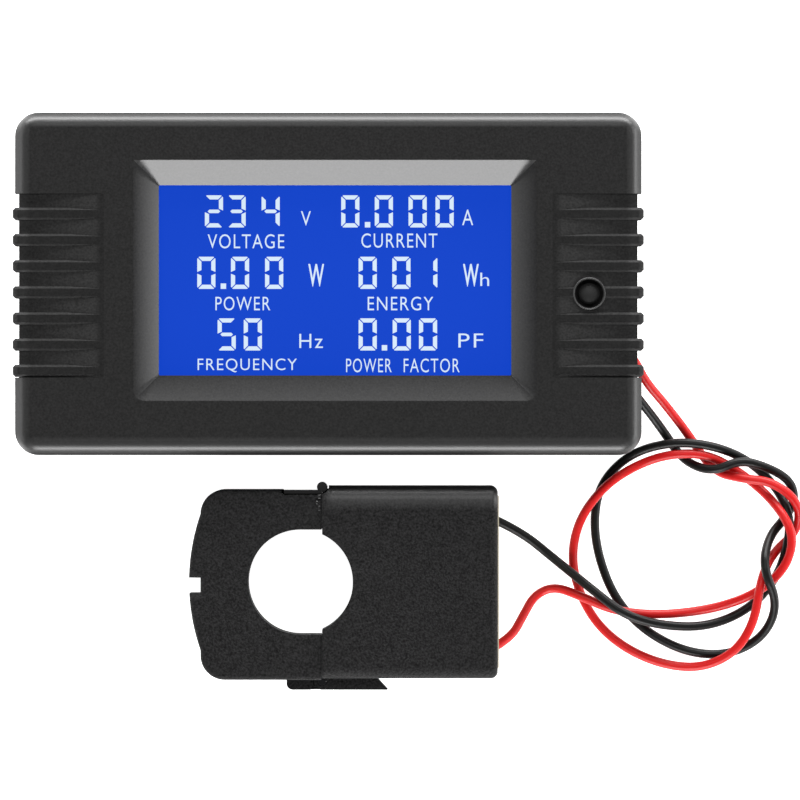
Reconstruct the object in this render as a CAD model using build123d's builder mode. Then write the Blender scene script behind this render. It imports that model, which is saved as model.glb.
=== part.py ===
from build123d import *
import os
from math import radians, tan

# AC power meter: a panel case with a display and a push button, and a split-core current
# transformer that lies beside it on its two leads. Sizes are in millimetres. The origin is the
# centre of the case's back, +Z points out of the display and +Y to its top.

os.makedirs("parts", exist_ok=True)

# Clearances between pieces
fit_gap = 0.15
pin_gap = 0.05
running_gap = 0.3

# Meter case
case_width = 89.6
case_height = 49.0
case_depth = 24.4
case_corner = 3.4
case_edge = 2.1
case_wall = 2.0
split_height = 11.5
rear_inset = 0.6
rear_edge = 0.8
lip_wall = 1.0
lip_rise = 1.5

# Grip zones at both ends of the case
grip_top = 12.9
grip_length = 26.3
grip_reach = 12.6
grip_drop = 0.8
grip_setback = 0.6
rib_count = 7
rib_pitch = 3.74
rib_width = 1.75
rib_proud = 0.3
rib_bend = 1.0
rib_edge = 0.35
rib_first_offset = 2.9
rib_root = 0.5

# Display window, by its distance from the case's edges, and its bevelled surround
window_left_margin = 20.56
window_right_margin = 18.64
window_top_margin = 10.4
window_bottom_margin = 11.4
window_corner = 0.2
window_lip = 0.8
bevel_width = 3.65
bevel_depth = 2.4
bevel_corner = 1.7
frame_wall = 1.6

# Display stack, from the front to the back
film_thickness = 0.2
glass_thickness = 1.0
glass_margin = 2.2
film_margin = 1.5
contact_ledge = 3.4
guide_thickness = 2.6
guide_margin = 1.4
holder_wall = 2.4
holder_floor = 0.8
display_pin_count = 20
display_pin_pitch = 2.0
display_pin_width = 0.5
display_pin_thickness = 0.35
display_pin_finger = 1.1
led_count = 3
led_pitch = 8.0
led_width = 3.2
led_depth = 1.2

# Main board, under the display holder
board_thickness = 1.6
board_end_gap = 1.8
board_side_gap = 1.7
holder_stand = 2.4

# Case screws, their posts, the board's props under it and the stops over it
screw_inset_x = 4.9
screw_inset_y = 5.4
screw_radius = 1.0
screw_length = 10.0
screw_head_radius = 1.9
screw_head_height = 1.5
screw_seat = 8.0
cross_width = 0.5
cross_depth = 0.8
post_radius = 2.9
boss_radius = 2.3
prop_radius = 1.2
prop_edge_gap = 0.3
prop_bay_gap = 1.55

# Push button over a tactile switch
button_inset = 7.5
button_y = -1.4
button_radius = 1.5
button_dome = 0.45
button_sink = 0.15
button_hole_radius = 2.0
button_collar_radius = 2.36
button_flange_radius = 2.7
button_flange_height = 0.8
button_travel = 0.3
switch_width = 6.0
switch_height = 3.5
plunger_radius = 1.7
plunger_rise = 1.5
plunger_root = 1.0

# Terminal block in its bay, which opens to the back and to the right
pole_count = 4
pole_pitch = 5.08
terminal_y = -5.88
terminal_setback = 6.8
terminal_length = 9.6
terminal_bottom = 1.6
terminal_floor = 1.85
terminal_roof = 3.05
entry_radius = 1.35
clamp_length = 5.2
clamp_width = 3.7
clamp_wall = 0.6
terminal_screw_radius = 1.2
terminal_head_radius = 1.6
terminal_head_height = 1.2
terminal_head_sink = 0.3
slot_width = 0.5
slot_depth = 0.6
solder_pin_radius = 0.5
solder_pin_rise = 0.9
tongue_width = 2.2
tongue_thickness = 0.5
bay_low_room = 2.96
bay_high_room = 1.72
bay_head_room = 2.4
bay_wall = 1.2

# Leads
lead_diameter = 1.3
lead_sides = 8
conductor_radius = 0.45
ferrule_collar_radius = 0.95
ferrule_collar_length = 1.6
ferrule_stand_off = 0.4

# Chips under the board: legs, and the places of the other parts from the board's ends
chip_leg_width = 0.4
chip_leg_reach = 1.0
chip_leg_foot = 0.2
part_edge = 0.4
part_floor_gap = 1.0
film_capacitor_length = 18.0
film_capacitor_width = 8.4
film_capacitor_inset = 12.0
film_capacitor_y = 8.0
film_capacitor_edge = 0.8
film_capacitor_floor_gap = 1.2
can_length = 12.0
can_inset = 6.0
can_y = -8.0
can_floor_gap = 1.85
can_waist = 0.8
can_waist_end = 1.6
can_waist_depth = 0.4
varistor_thickness = 3.4
varistor_x = 19.4
varistor_y = 11.5
varistor_neck_width = 6.6
varistor_board_gap = 0.2
diode_count = 4
diode_pitch = 4.0
diode_length = 4.4
diode_width = 2.6
diode_height = 2.1
diode_gap = 3.8
diode_y = -6.5
resistor_count = 4
resistor_pitch = 4.0
resistor_width = 1.6
resistor_length = 3.2
resistor_height = 0.6
resistor_gap = 2.1
resistor_y = 1.5
burden_count = 2
burden_radius = 1.2
burden_length = 6.4
burden_pitch = 4.0
burden_gap = 6.5
burden_y = -14.0
crystal_length = 10.8
crystal_width = 4.6
crystal_height = 3.4
crystal_inset = 5.5
crystal_y = 4.0

# Routes of the leads, from the transformer's end to the terminal, across the loose turns
black_route = [
    (23.2, -33.5, 4.4),
    (27.5, -35.4, 2.8),
    (32.6, -39.6, 1.5),
    (38.3, -44.2, 3.6),
    (42.6, -47.6, 4.1),
    (48.0, -49.1, 2.6),
    (54.5, -49.3, 0.9),
    (60.3, -46.9, 0.65),
    (64.2, -42.8, 0.65),
    (66.1, -37.8, 2.4),
    (66.4, -33.2, 2.6),
    (64.4, -29.0, 0.65),
    (60.4, -25.2, 0.65),
    (55.2, -23.1, 2.5),
    (49.5, -22.6, 2.5),
    (43.5, -24.2, 0.65),
    (39.2, -28.4, 0.65),
    (38.1, -33.6, 0.65),
    (38.8, -39.2, 0.65),
    (41.2, -45.3, 0.65),
    (45.6, -50.0, 0.65),
    (51.6, -53.0, 0.65),
    (57.5, -53.4, 0.65),
    (62.6, -50.8, 1.4),
    (64.7, -46.0, 3.6),
    (62.4, -40.6, 6.0),
    (63.3, -36.3, 2.0),
    (65.8, -33.5, 0.65),
    (67.2, -30.9, 0.65),
    (66.4, -28.1, 0.9),
    (63.0, -26.2, 2.2),
    (59.2, -25.2, 3.0),
    (55.2, -27.0, 3.0),
    (51.0, -25.4, 0.65),
    (48.0, -20.8, 0.8),
    (45.2, -17.2, 3.4),
    (43.2, -14.7, 5.4),
    (40.9, -13.5, 6.2),
    (38.4, -13.5, 6.2),
]
red_route = [
    (23.2, -52.5, 4.5),
    (26.2, -50.9, 3.2),
    (28.0, -47.6, 1.6),
    (29.6, -44.7, 0.8),
    (32.5, -43.4, 1.2),
    (36.4, -44.9, 2.4),
    (41.0, -46.9, 2.5),
    (46.0, -47.5, 2.3),
    (51.2, -47.3, 0.8),
    (56.8, -46.3, 0.9),
    (61.8, -44.3, 2.6),
    (65.6, -41.0, 2.7),
    (66.9, -37.0, 4.1),
    (65.9, -33.8, 4.1),
    (63.2, -30.3, 1.8),
    (59.2, -27.0, 0.65),
    (54.6, -24.4, 2.3),
    (49.4, -24.3, 2.5),
    (44.6, -25.8, 1.0),
    (39.8, -28.8, 2.6),
    (36.2, -33.4, 1.8),
    (34.9, -38.6, 0.65),
    (35.8, -43.9, 0.65),
    (38.6, -49.0, 0.65),
    (43.0, -52.6, 0.65),
    (48.4, -54.8, 0.65),
    (53.8, -55.2, 1.4),
    (58.6, -52.9, 2.5),
    (61.3, -48.4, 3.2),
    (62.1, -42.6, 4.6),
    (63.8, -38.7, 1.2),
    (67.6, -35.4, 0.65),
    (67.7, -31.4, 3.4),
    (64.0, -28.4, 3.4),
    (59.4, -27.9, 3.0),
    (55.3, -26.9, 0.65),
    (51.8, -21.6, 0.65),
    (48.4, -17.2, 2.0),
    (45.5, -13.9, 4.2),
    (43.9, -10.6, 5.5),
    (41.4, -8.42, 6.2),
    (38.4, -8.42, 6.2),
]

# Split-core current transformer
ct_bore_x = -4.0
ct_bore_y = -42.65
ct_bore_radius = 7.5
ct_seam_x = -0.89
ct_right_x = 24.25
ct_half_height = 13.8
ct_thickness = 22.0
ct_wall = 1.4
ct_bore_wall = 1.2
ct_long_edge = 2.0
ct_end_edge = 1.0
seam_gap = 0.1
jaw_left_x = -18.3
jaw_top = 13.25
jaw_bottom = 14.0
jaw_inset = 0.3
jaw_wall = 1.2
jaw_corner = 3.5
jaw_edge = 0.8
lobe_half_length = 9.75
lobe_bulge = 1.65
lobe_notch = 2.24
lobe_notch_drop = 0.5
core_leg = 2.7
core_depth = 12.0
core_cross = 4.0
core_cross_x = 15.0
core_gap = 0.3
jaw_core_cross = 3.2
spring_thickness = 0.25
bobbin_wall = 0.8
winding_height = 2.5
potting_depth = 3.2
potting_proud = 0.15

# Jaw hinge and catch
hinge_radius = 1.2
hinge_pin_radius = 0.55
hinge_y = -56.9
hinge_length = 14.0
hinge_play = 0.2
hinge_relief = 1.7
strap_left_x = -6.0
strap_right_x = 8.5
strap_slant = 1.5
catch_radius = 0.75
catch_y = -29.05
catch_arm_length = 5.4
catch_arm_thickness = 0.55
catch_root_radius = 0.32
catch_end_gap = 0.5
catch_web = 0.4

# Places worked out from the sizes above
face_under = case_depth - case_wall
rear_width = case_width - 2 * rear_inset
rear_height = case_height - 2 * rear_inset
rear_corner = case_corner - rear_inset
cavity_width = case_width - 2 * case_wall
cavity_height = case_height - 2 * case_wall
cavity_corner = case_corner - case_wall
window_width = case_width - window_left_margin - window_right_margin
window_height = case_height - window_top_margin - window_bottom_margin
window_x = (window_left_margin - window_right_margin) / 2
window_y = (window_bottom_margin - window_top_margin) / 2
window_front = case_depth - bevel_depth
display_front = window_front - window_lip
glass_width = window_width + 2 * glass_margin
glass_height = window_height + 2 * glass_margin
film_width = window_width + 2 * film_margin
film_height = window_height + 2 * film_margin
guide_width = window_width + 2 * guide_margin
guide_height = window_height + 2 * guide_margin
front_glass_z = display_front - film_thickness - glass_thickness
rear_glass_z = front_glass_z - glass_thickness
rear_film_z = rear_glass_z - film_thickness
guide_z = rear_film_z - guide_thickness
reflector_z = guide_z - film_thickness
board_top = reflector_z - holder_stand
board_bottom = board_top - board_thickness
board_width = cavity_width - 2 * board_end_gap
board_height = cavity_height - 2 * board_side_gap
board_left_x = -board_width / 2
room_under_board = board_bottom - case_wall
screw_x = case_width / 2 - screw_inset_x
screw_y = case_height / 2 - screw_inset_y
button_x = case_width / 2 - button_inset
terminal_front_x = case_width / 2 - terminal_setback
terminal_back_x = terminal_front_x - terminal_length
terminal_width = pole_count * pole_pitch
clamp_x = (terminal_front_x + terminal_back_x) / 2
clamp_height = board_bottom - terminal_bottom - terminal_floor - terminal_roof - 2 * fit_gap
entry_z = terminal_bottom + terminal_floor + fit_gap + clamp_height / 2
bay_back_x = terminal_back_x - fit_gap - running_gap
bay_low_y = terminal_y - terminal_width / 2 - bay_low_room
bay_high_y = terminal_y + terminal_width / 2 + bay_high_room
bay_ceiling = entry_z + bay_head_room
prop_x = bay_back_x - bay_wall - prop_bay_gap - prop_radius
prop_y = board_height / 2 - prop_edge_gap - prop_radius
stop_x = (window_x + glass_width / 2 + screw_x - boss_radius) / 2
ct_mid_z = ct_thickness / 2
ct_bore_wall_radius = ct_bore_radius + ct_bore_wall
core_leg_y = ct_bore_wall_radius + core_gap + core_leg / 2


def save(builder, name):
    """Label one finished piece and write it to its own file."""
    builder.part.label = name
    export_step(builder.part, f"parts/{name}.step")


def corner_places():
    """The four case screws, at the corners of a rectangle."""
    return GridLocations(2 * screw_x, 2 * screw_y, 2, 2)


def prop_places(from_centre):
    """Four places near the board's long edges, where props or stops hold it."""
    return GridLocations(2 * from_centre, 2 * prop_y, 2, 2)


def pole_places():
    """Y of each terminal, from the lowest to the highest."""
    first = terminal_y - (pole_count - 1) * pole_pitch / 2
    return [first + index * pole_pitch for index in range(pole_count)]


# One grip rib on the right-hand end: flush with the face, round the edge and down the side
rib_tip_x = case_width / 2 + rib_proud
grip_inner_x = case_width / 2 - grip_reach
grip_wall_x = case_width / 2 - grip_setback
rib_root_z = case_depth - grip_drop - rib_root

with BuildPart() as grip_rib:
    with BuildSketch(Plane.XZ.offset(-rib_width / 2)):
        with BuildLine():
            Line((grip_inner_x, case_depth), (rib_tip_x - rib_bend, case_depth))
            RadiusArc((rib_tip_x - rib_bend, case_depth), (rib_tip_x, case_depth - rib_bend), rib_bend)
            Line((rib_tip_x, case_depth - rib_bend), (rib_tip_x, split_height))
            Line((rib_tip_x, split_height), (grip_wall_x - rib_root, split_height))
            Line((grip_wall_x - rib_root, split_height), (grip_wall_x - rib_root, rib_root_z))
            Line((grip_wall_x - rib_root, rib_root_z), (grip_inner_x, case_depth - rib_root))
            Line((grip_inner_x, case_depth - rib_root), (grip_inner_x, case_depth))
        make_face()
    extrude(amount=rib_width)
    outer_edges = [
        edge
        for edge in grip_rib.edges()
        if abs(abs(edge.center().Y) - rib_width / 2) < 0.01
        and (
            edge.geom_type == GeomType.CIRCLE
            or edge.center().Z > case_depth - 0.01
            or edge.center().X > rib_tip_x - 0.01
        )
    ]
    chamfer(outer_edges, rib_edge)

# Front shell: face, end grips, bevelled window, button hole, screw bosses and board stops
with BuildPart() as front_shell:
    with BuildSketch(Plane.XY.offset(split_height)):
        RectangleRounded(case_width, case_height, case_corner)
    extrude(amount=case_depth - split_height)
    fillet(front_shell.faces().sort_by(Axis.Z)[-1].edges(), case_edge)
    with BuildSketch(Plane.XY.offset(split_height)):
        RectangleRounded(cavity_width, cavity_height, cavity_corner)
    extrude(amount=face_under - split_height, mode=Mode.SUBTRACT)
    with BuildSketch(Plane.XZ.offset(-grip_top)):
        for side in (1, -1):
            with BuildLine():
                Polyline(
                    (side * grip_inner_x, case_depth),
                    (side * grip_wall_x, case_depth - grip_drop),
                    (side * grip_wall_x, split_height),
                    (side * (case_width / 2 + 1), split_height),
                    (side * (case_width / 2 + 1), case_depth + 1),
                    (side * grip_inner_x, case_depth + 1),
                    close=True,
                )
            make_face()
    extrude(amount=grip_length, mode=Mode.SUBTRACT)
    for index in range(rib_count):
        rib_y = grip_top - rib_first_offset - index * rib_pitch
        with Locations((0, rib_y, 0)):
            add(grip_rib.part)
            add(grip_rib.part, rotation=(0, 0, 180))
    with BuildSketch(Plane.XY.offset(display_front)):
        with Locations((window_x, window_y)):
            Rectangle(
                window_width + 2 * (bevel_width + frame_wall),
                window_height + 2 * (bevel_width + frame_wall),
            )
    extrude(amount=face_under - display_front)
    with BuildSketch(Plane.XY.offset(window_front)):
        with Locations((window_x, window_y)):
            RectangleRounded(window_width, window_height, window_corner)
    with BuildSketch(Plane.XY.offset(case_depth)):
        with Locations((window_x, window_y)):
            RectangleRounded(window_width + 2 * bevel_width, window_height + 2 * bevel_width, bevel_corner)
    loft(ruled=True, mode=Mode.SUBTRACT)
    with BuildSketch(Plane.XY.offset(display_front)):
        with Locations((window_x, window_y)):
            RectangleRounded(window_width, window_height, window_corner)
    extrude(amount=window_lip, mode=Mode.SUBTRACT)
    with BuildSketch(Plane.XY.offset(split_height)):
        with corner_places():
            Circle(boss_radius)
    extrude(amount=face_under - split_height)
    with BuildSketch(Plane.XY.offset(board_top)):
        with prop_places(stop_x):
            Circle(prop_radius)
    extrude(amount=face_under - board_top)
    with BuildSketch(Plane.XY.offset(split_height)):
        with corner_places():
            Circle(screw_radius + pin_gap)
    extrude(amount=screw_seat + screw_length + 1 - split_height, mode=Mode.SUBTRACT)
    with BuildSketch(Plane.XY.offset(face_under)):
        with Locations((button_x, button_y)):
            Circle(button_collar_radius)
    extrude(amount=case_wall)
    with BuildSketch(Plane.XY.offset(face_under)):
        with Locations((button_x, button_y)):
            Circle(button_hole_radius)
    extrude(amount=case_wall, mode=Mode.SUBTRACT)
save(front_shell, "front_shell")

# Rear shell: floor, locating lip, terminal bay, screw posts and board props
with BuildPart() as rear_shell:
    with BuildSketch():
        RectangleRounded(rear_width, rear_height, rear_corner)
    extrude(amount=split_height)
    fillet(rear_shell.faces().sort_by(Axis.Z)[0].edges(), rear_edge)
    with BuildSketch(Plane.XY.offset(case_wall)):
        RectangleRounded(rear_width - 2 * case_wall, rear_height - 2 * case_wall, rear_corner - case_wall)
    extrude(amount=split_height - case_wall, mode=Mode.SUBTRACT)
    with BuildSketch(Plane.XY.offset(split_height - lip_rise)):
        RectangleRounded(cavity_width - 2 * fit_gap, cavity_height - 2 * fit_gap, cavity_corner)
        Rectangle(
            cavity_width - 2 * (fit_gap + lip_wall),
            cavity_height - 2 * (fit_gap + lip_wall),
            mode=Mode.SUBTRACT,
        )
    extrude(amount=2 * lip_rise)
    with BuildSketch():
        with Locations(((bay_back_x - bay_wall + grip_wall_x - 1) / 2, (bay_low_y + bay_high_y) / 2)):
            Rectangle(grip_wall_x - 1 - bay_back_x + bay_wall, bay_high_y - bay_low_y + 2 * bay_wall)
    extrude(amount=bay_ceiling + bay_wall)
    with BuildSketch():
        with Locations((bay_back_x, (bay_low_y + bay_high_y) / 2)):
            Rectangle(case_width / 2, bay_high_y - bay_low_y, align=(Align.MIN, Align.CENTER))
    extrude(amount=bay_ceiling, mode=Mode.SUBTRACT)
    with BuildSketch(Plane.XY.offset(bay_ceiling)):
        with Locations((clamp_x, terminal_y)):
            Rectangle(terminal_length + 2 * fit_gap, terminal_width + 2 * fit_gap)
    extrude(amount=bay_wall, mode=Mode.SUBTRACT)
    with BuildSketch():
        with corner_places():
            Circle(post_radius)
    extrude(amount=split_height)
    with BuildSketch(Plane.XY.offset(split_height)):
        with corner_places():
            Circle(boss_radius + fit_gap)
    extrude(amount=lip_rise, mode=Mode.SUBTRACT)
    with BuildSketch():
        with corner_places():
            Circle(screw_head_radius + fit_gap)
    extrude(amount=screw_seat, mode=Mode.SUBTRACT)
    with BuildSketch():
        with corner_places():
            Circle(screw_radius + fit_gap)
    extrude(amount=split_height, mode=Mode.SUBTRACT)
    with BuildSketch(Plane.XY.offset(case_wall)):
        with prop_places(prop_x):
            Circle(prop_radius)
    extrude(amount=board_bottom - case_wall)
save(rear_shell, "rear_shell")

# Case screws: self-tapping, pan heads in the deep holes of the back
with BuildPart() as case_screws:
    with BuildSketch(Plane.XY.offset(screw_seat - screw_head_height)):
        with corner_places():
            Circle(screw_head_radius)
    extrude(amount=screw_head_height)
    chamfer(case_screws.faces().group_by(Axis.Z)[0].edges(), screw_head_height / 3)
    with BuildSketch(Plane.XY.offset(screw_seat)):
        with corner_places():
            Circle(screw_radius)
    extrude(amount=screw_length)
    with BuildSketch(Plane.XY.offset(screw_seat - screw_head_height)):
        with corner_places():
            Rectangle(screw_head_radius, cross_width)
            Rectangle(cross_width, screw_head_radius)
    extrude(amount=cross_depth, mode=Mode.SUBTRACT)
save(case_screws, "case_screws")

# Main board, notched at the screw posts, with holes for the terminal pins
with BuildPart() as main_board:
    with BuildSketch(Plane.XY.offset(board_bottom)):
        Rectangle(board_width, board_height)
        with corner_places():
            Rectangle(2 * (boss_radius + running_gap), 2 * (boss_radius + running_gap), mode=Mode.SUBTRACT)
        with Locations([(clamp_x, pole_y) for pole_y in pole_places()]):
            Circle(solder_pin_radius + pin_gap, mode=Mode.SUBTRACT)
    extrude(amount=board_thickness)
save(main_board, "main_board")

# Display stack: films, glasses and light guide lie on each other behind the window
ledge_y = window_y - glass_height / 2 - contact_ledge


def plate(name, width, height, z, thickness, drop=0.0):
    """A flat rectangular layer centred on the window, reaching further down by drop."""
    with BuildPart() as layer:
        with BuildSketch(Plane.XY.offset(z)):
            with Locations((window_x, window_y - drop / 2)):
                Rectangle(width, height + drop)
        extrude(amount=thickness)
    save(layer, name)


plate("display_front_film", film_width, film_height, display_front - film_thickness, film_thickness)
plate("display_front_glass", glass_width, glass_height, front_glass_z, glass_thickness)
plate("display_rear_glass", glass_width, glass_height, rear_glass_z, glass_thickness, contact_ledge)
plate("display_rear_film", film_width, film_height, rear_film_z, film_thickness)
plate("light_guide", guide_width, guide_height, guide_z, guide_thickness)
plate("reflector_sheet", guide_width, guide_height, reflector_z, film_thickness)

# Backlight lamps at the right-hand edge of the light guide
led_x = window_x + guide_width / 2 + fit_gap

with BuildPart() as backlight_leds:
    with BuildSketch(Plane.XY.offset(reflector_z)):
        with Locations((led_x + led_depth / 2, window_y)):
            with GridLocations(0, led_pitch, 1, led_count):
                Rectangle(led_depth, led_width)
    extrude(amount=guide_thickness)
save(backlight_leds, "backlight_leds")

# Holder that carries the light guide and stands on the board
holder_width = guide_width + 2 * holder_wall
holder_height = guide_height + 2 * holder_wall

with BuildPart() as display_holder:
    with BuildSketch(Plane.XY.offset(board_top)):
        with Locations((window_x, window_y)):
            RectangleRounded(holder_width, holder_height, holder_wall / 2)
    extrude(amount=rear_glass_z - fit_gap - board_top)
    with BuildSketch(Plane.XY.offset(reflector_z)):
        with Locations((window_x, window_y)):
            Rectangle(guide_width + 2 * fit_gap, guide_height + 2 * fit_gap)
        with Locations((led_x + led_depth / 2, window_y)):
            with GridLocations(0, led_pitch, 1, led_count):
                Rectangle(led_depth + 2 * fit_gap, led_width + 2 * fit_gap)
    extrude(amount=rear_glass_z - reflector_z, mode=Mode.SUBTRACT)
    with BuildSketch(Plane.XY.offset(board_top)):
        with Locations((window_x, window_y)):
            Rectangle(guide_width - holder_wall, guide_height - holder_wall)
    extrude(amount=reflector_z - holder_floor - board_top, mode=Mode.SUBTRACT)
save(display_holder, "display_holder")

# Contact pins that clip over the ledge of the rear glass and stand on the board
pin_y = ledge_y - fit_gap - display_pin_thickness / 2

with BuildPart() as display_pins:
    with BuildSketch(Plane.XY.offset(board_top)):
        with Locations((window_x, pin_y)):
            with GridLocations(display_pin_pitch, 0, display_pin_count, 1):
                Rectangle(display_pin_width, display_pin_thickness)
    extrude(amount=front_glass_z - board_top + fit_gap)
    with BuildSketch(Plane.XY.offset(front_glass_z + fit_gap)):
        with Locations((window_x, pin_y - display_pin_thickness / 2)):
            with GridLocations(display_pin_pitch, 0, display_pin_count, 1):
                Rectangle(display_pin_width, display_pin_finger, align=(Align.CENTER, Align.MIN))
    extrude(amount=display_pin_thickness)
save(display_pins, "display_pins")

# Tactile switch: metal-topped base with a bore that guides its plunger
plunger_base_z = board_top + switch_height - plunger_root
plunger_top_z = board_top + switch_height + plunger_rise

with BuildPart() as switch_base:
    with BuildSketch(Plane.XY.offset(board_top)):
        with Locations((button_x, button_y)):
            RectangleRounded(switch_width, switch_width, switch_width / 12)
    extrude(amount=switch_height)
    with BuildSketch(Plane.XY.offset(plunger_base_z - button_travel - running_gap)):
        with Locations((button_x, button_y)):
            Circle(plunger_radius + pin_gap)
    extrude(amount=plunger_root + button_travel + running_gap, mode=Mode.SUBTRACT)
save(switch_base, "switch_base")

with BuildPart() as switch_plunger:
    with BuildSketch(Plane.XY.offset(plunger_base_z)):
        with Locations((button_x, button_y)):
            Circle(plunger_radius)
    extrude(amount=plunger_top_z - plunger_base_z)
    chamfer(switch_plunger.faces().sort_by(Axis.Z)[-1].edges(), plunger_radius / 8)
save(switch_plunger, "switch_plunger")

# Button cap: domed head, stem and the flange that keeps it in the case
cap_rim_z = case_depth - button_sink - button_dome
dome_radius = (button_radius**2 + button_dome**2) / (2 * button_dome)
flange_top_z = face_under - running_gap

with BuildPart() as button_cap:
    with BuildSketch(Plane.XY.offset(cap_rim_z)):
        with Locations((button_x, button_y)):
            Circle(button_radius)
    extrude(amount=button_dome)
    with Locations((button_x, button_y, cap_rim_z + button_dome - dome_radius)):
        Sphere(dome_radius, mode=Mode.INTERSECT)
    with BuildSketch(Plane.XY.offset(plunger_top_z)):
        with Locations((button_x, button_y)):
            Circle(button_radius)
    extrude(amount=cap_rim_z - plunger_top_z)
    with BuildSketch(Plane.XY.offset(flange_top_z - button_flange_height)):
        with Locations((button_x, button_y)):
            Circle(button_flange_radius)
    extrude(amount=button_flange_height)
save(button_cap, "button_cap")

# Terminal block: one body, with a wire entry, a clamp chamber and a screw hole for each pole
chamber_z = entry_z - clamp_height / 2 - fit_gap
terminal_head_z = terminal_bottom + terminal_head_sink

with BuildPart() as terminal_block:
    with BuildSketch(Plane.XY.offset(terminal_bottom)):
        with Locations((clamp_x, terminal_y)):
            Rectangle(terminal_length, terminal_width)
    extrude(amount=board_bottom - terminal_bottom)
    chamfer(terminal_block.edges().filter_by(Axis.Y).group_by(Axis.Z)[0], clamp_wall)
    for pole_y in pole_places():
        with BuildSketch(Plane.XY.offset(chamber_z)):
            with Locations((clamp_x, pole_y)):
                Rectangle(clamp_length + 2 * fit_gap, clamp_width + 2 * fit_gap)
        extrude(amount=clamp_height + 2 * fit_gap, mode=Mode.SUBTRACT)
        with BuildSketch(Plane.YZ.offset(clamp_x)):
            with Locations((pole_y, entry_z)):
                Circle(entry_radius)
        extrude(amount=terminal_length / 2, mode=Mode.SUBTRACT)
        with BuildSketch(Plane.XY.offset(terminal_bottom)):
            with Locations((clamp_x, pole_y)):
                Circle(terminal_head_radius + fit_gap)
        extrude(amount=chamber_z - terminal_bottom, mode=Mode.SUBTRACT)
        with BuildSketch(Plane.XY.offset(entry_z)):
            with Locations((clamp_x, pole_y)):
                Circle(solder_pin_radius + pin_gap)
        extrude(amount=board_bottom - entry_z, mode=Mode.SUBTRACT)
save(terminal_block, "terminal_block")

# Clamps: one square cage for each pole, tapped for its screw
with BuildPart() as terminal_clamps:
    for pole_y in pole_places():
        with BuildSketch(Plane.YZ.offset(clamp_x - clamp_length / 2)):
            with Locations((pole_y, entry_z)):
                Rectangle(clamp_width, clamp_height)
                Rectangle(clamp_width - 2 * clamp_wall, clamp_height - 2 * clamp_wall, mode=Mode.SUBTRACT)
        extrude(amount=clamp_length)
        with BuildSketch(Plane.XY.offset(entry_z - clamp_height / 2)):
            with Locations((clamp_x, pole_y)):
                Circle(terminal_screw_radius + pin_gap)
        extrude(amount=clamp_wall, mode=Mode.SUBTRACT)
        with BuildSketch(Plane.XY.offset(entry_z)):
            with Locations((clamp_x, pole_y)):
                Circle(solder_pin_radius + pin_gap)
        extrude(amount=clamp_height / 2, mode=Mode.SUBTRACT)
save(terminal_clamps, "terminal_clamps")

# Terminal screws, slotted heads towards the back, tips on the wires
with BuildPart() as terminal_screws:
    for pole_y in pole_places():
        with BuildSketch(Plane.XY.offset(terminal_head_z)):
            with Locations((clamp_x, pole_y)):
                Circle(terminal_head_radius)
        extrude(amount=terminal_head_height)
        with BuildSketch(Plane.XY.offset(terminal_head_z + terminal_head_height)):
            with Locations((clamp_x, pole_y)):
                Circle(terminal_screw_radius)
        extrude(amount=entry_z - conductor_radius - terminal_head_z - terminal_head_height)
        with BuildSketch(Plane.XY.offset(terminal_head_z)):
            with Locations((clamp_x, pole_y)):
                Rectangle(2 * terminal_head_radius, slot_width)
        extrude(amount=slot_depth, mode=Mode.SUBTRACT)
save(terminal_screws, "terminal_screws")

# Solder pins up through the board, each with a tongue in its clamp that the wire is pressed against
with BuildPart() as terminal_pins:
    for pole_y in pole_places():
        with BuildSketch(Plane.XY.offset(entry_z + conductor_radius)):
            with Locations((clamp_x, pole_y)):
                Rectangle(clamp_length, tongue_width)
        extrude(amount=tongue_thickness)
        with BuildSketch(Plane.XY.offset(entry_z + conductor_radius)):
            with Locations((clamp_x, pole_y)):
                Circle(solder_pin_radius)
        extrude(amount=board_top + solder_pin_rise - entry_z - conductor_radius)
save(terminal_pins, "terminal_pins")


def board_chip(name, x, y, length, width, height, legs, pitch, four_sided=False):
    """A moulded chip under the board, with legs on two or four sides. Its length lies along X."""
    leg_width = pitch * chip_leg_width
    leg_reach = chip_leg_reach
    leg_foot = chip_leg_foot
    with BuildPart() as chip:
        with BuildSketch(Plane.XY.offset(board_bottom - height)):
            with Locations((x, y)):
                Rectangle(length, width)
        extrude(amount=height - leg_foot)
        chamfer(chip.faces().sort_by(Axis.Z)[0].edges(), leg_foot)
        with BuildSketch(Plane.XY.offset(board_bottom - leg_foot)):
            for side in (1, -1):
                with Locations((x, y + side * (width + leg_reach) / 2)):
                    with GridLocations(pitch, 0, legs, 1):
                        Rectangle(leg_width, leg_reach)
            if four_sided:
                for side in (1, -1):
                    with Locations((x + side * (length + leg_reach) / 2, y)):
                        with GridLocations(0, pitch, 1, legs):
                            Rectangle(leg_reach, leg_width)
        extrude(amount=leg_foot)
        with BuildSketch(Plane.XY.offset(board_bottom - leg_foot)):
            with Locations((x, y)):
                Rectangle(length, width)
        extrude(amount=leg_foot)
    save(chip, name)


board_chip("metering_chip", 0.0, -8.0, 15.4, 7.5, 2.4, 12, 1.27)
board_chip("microcontroller", 4.0, 8.0, 10.0, 10.0, 1.6, 11, 0.8, True)
board_chip("memory_chip", -10.0, 10.0, 5.0, 4.0, 1.7, 4, 1.27)

# Film capacitor of the supply, a moulded box under the board
film_capacitor_height = room_under_board - film_capacitor_floor_gap

with BuildPart() as film_capacitor:
    with BuildSketch(Plane.XY.offset(board_bottom - film_capacitor_height)):
        with Locations((board_left_x + film_capacitor_inset, film_capacitor_y)):
            Rectangle(film_capacitor_length, film_capacitor_width)
    extrude(amount=film_capacitor_height)
    chamfer(film_capacitor.faces().sort_by(Axis.Z)[0].edges(), film_capacitor_edge)
save(film_capacitor, "film_capacitor")

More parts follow.
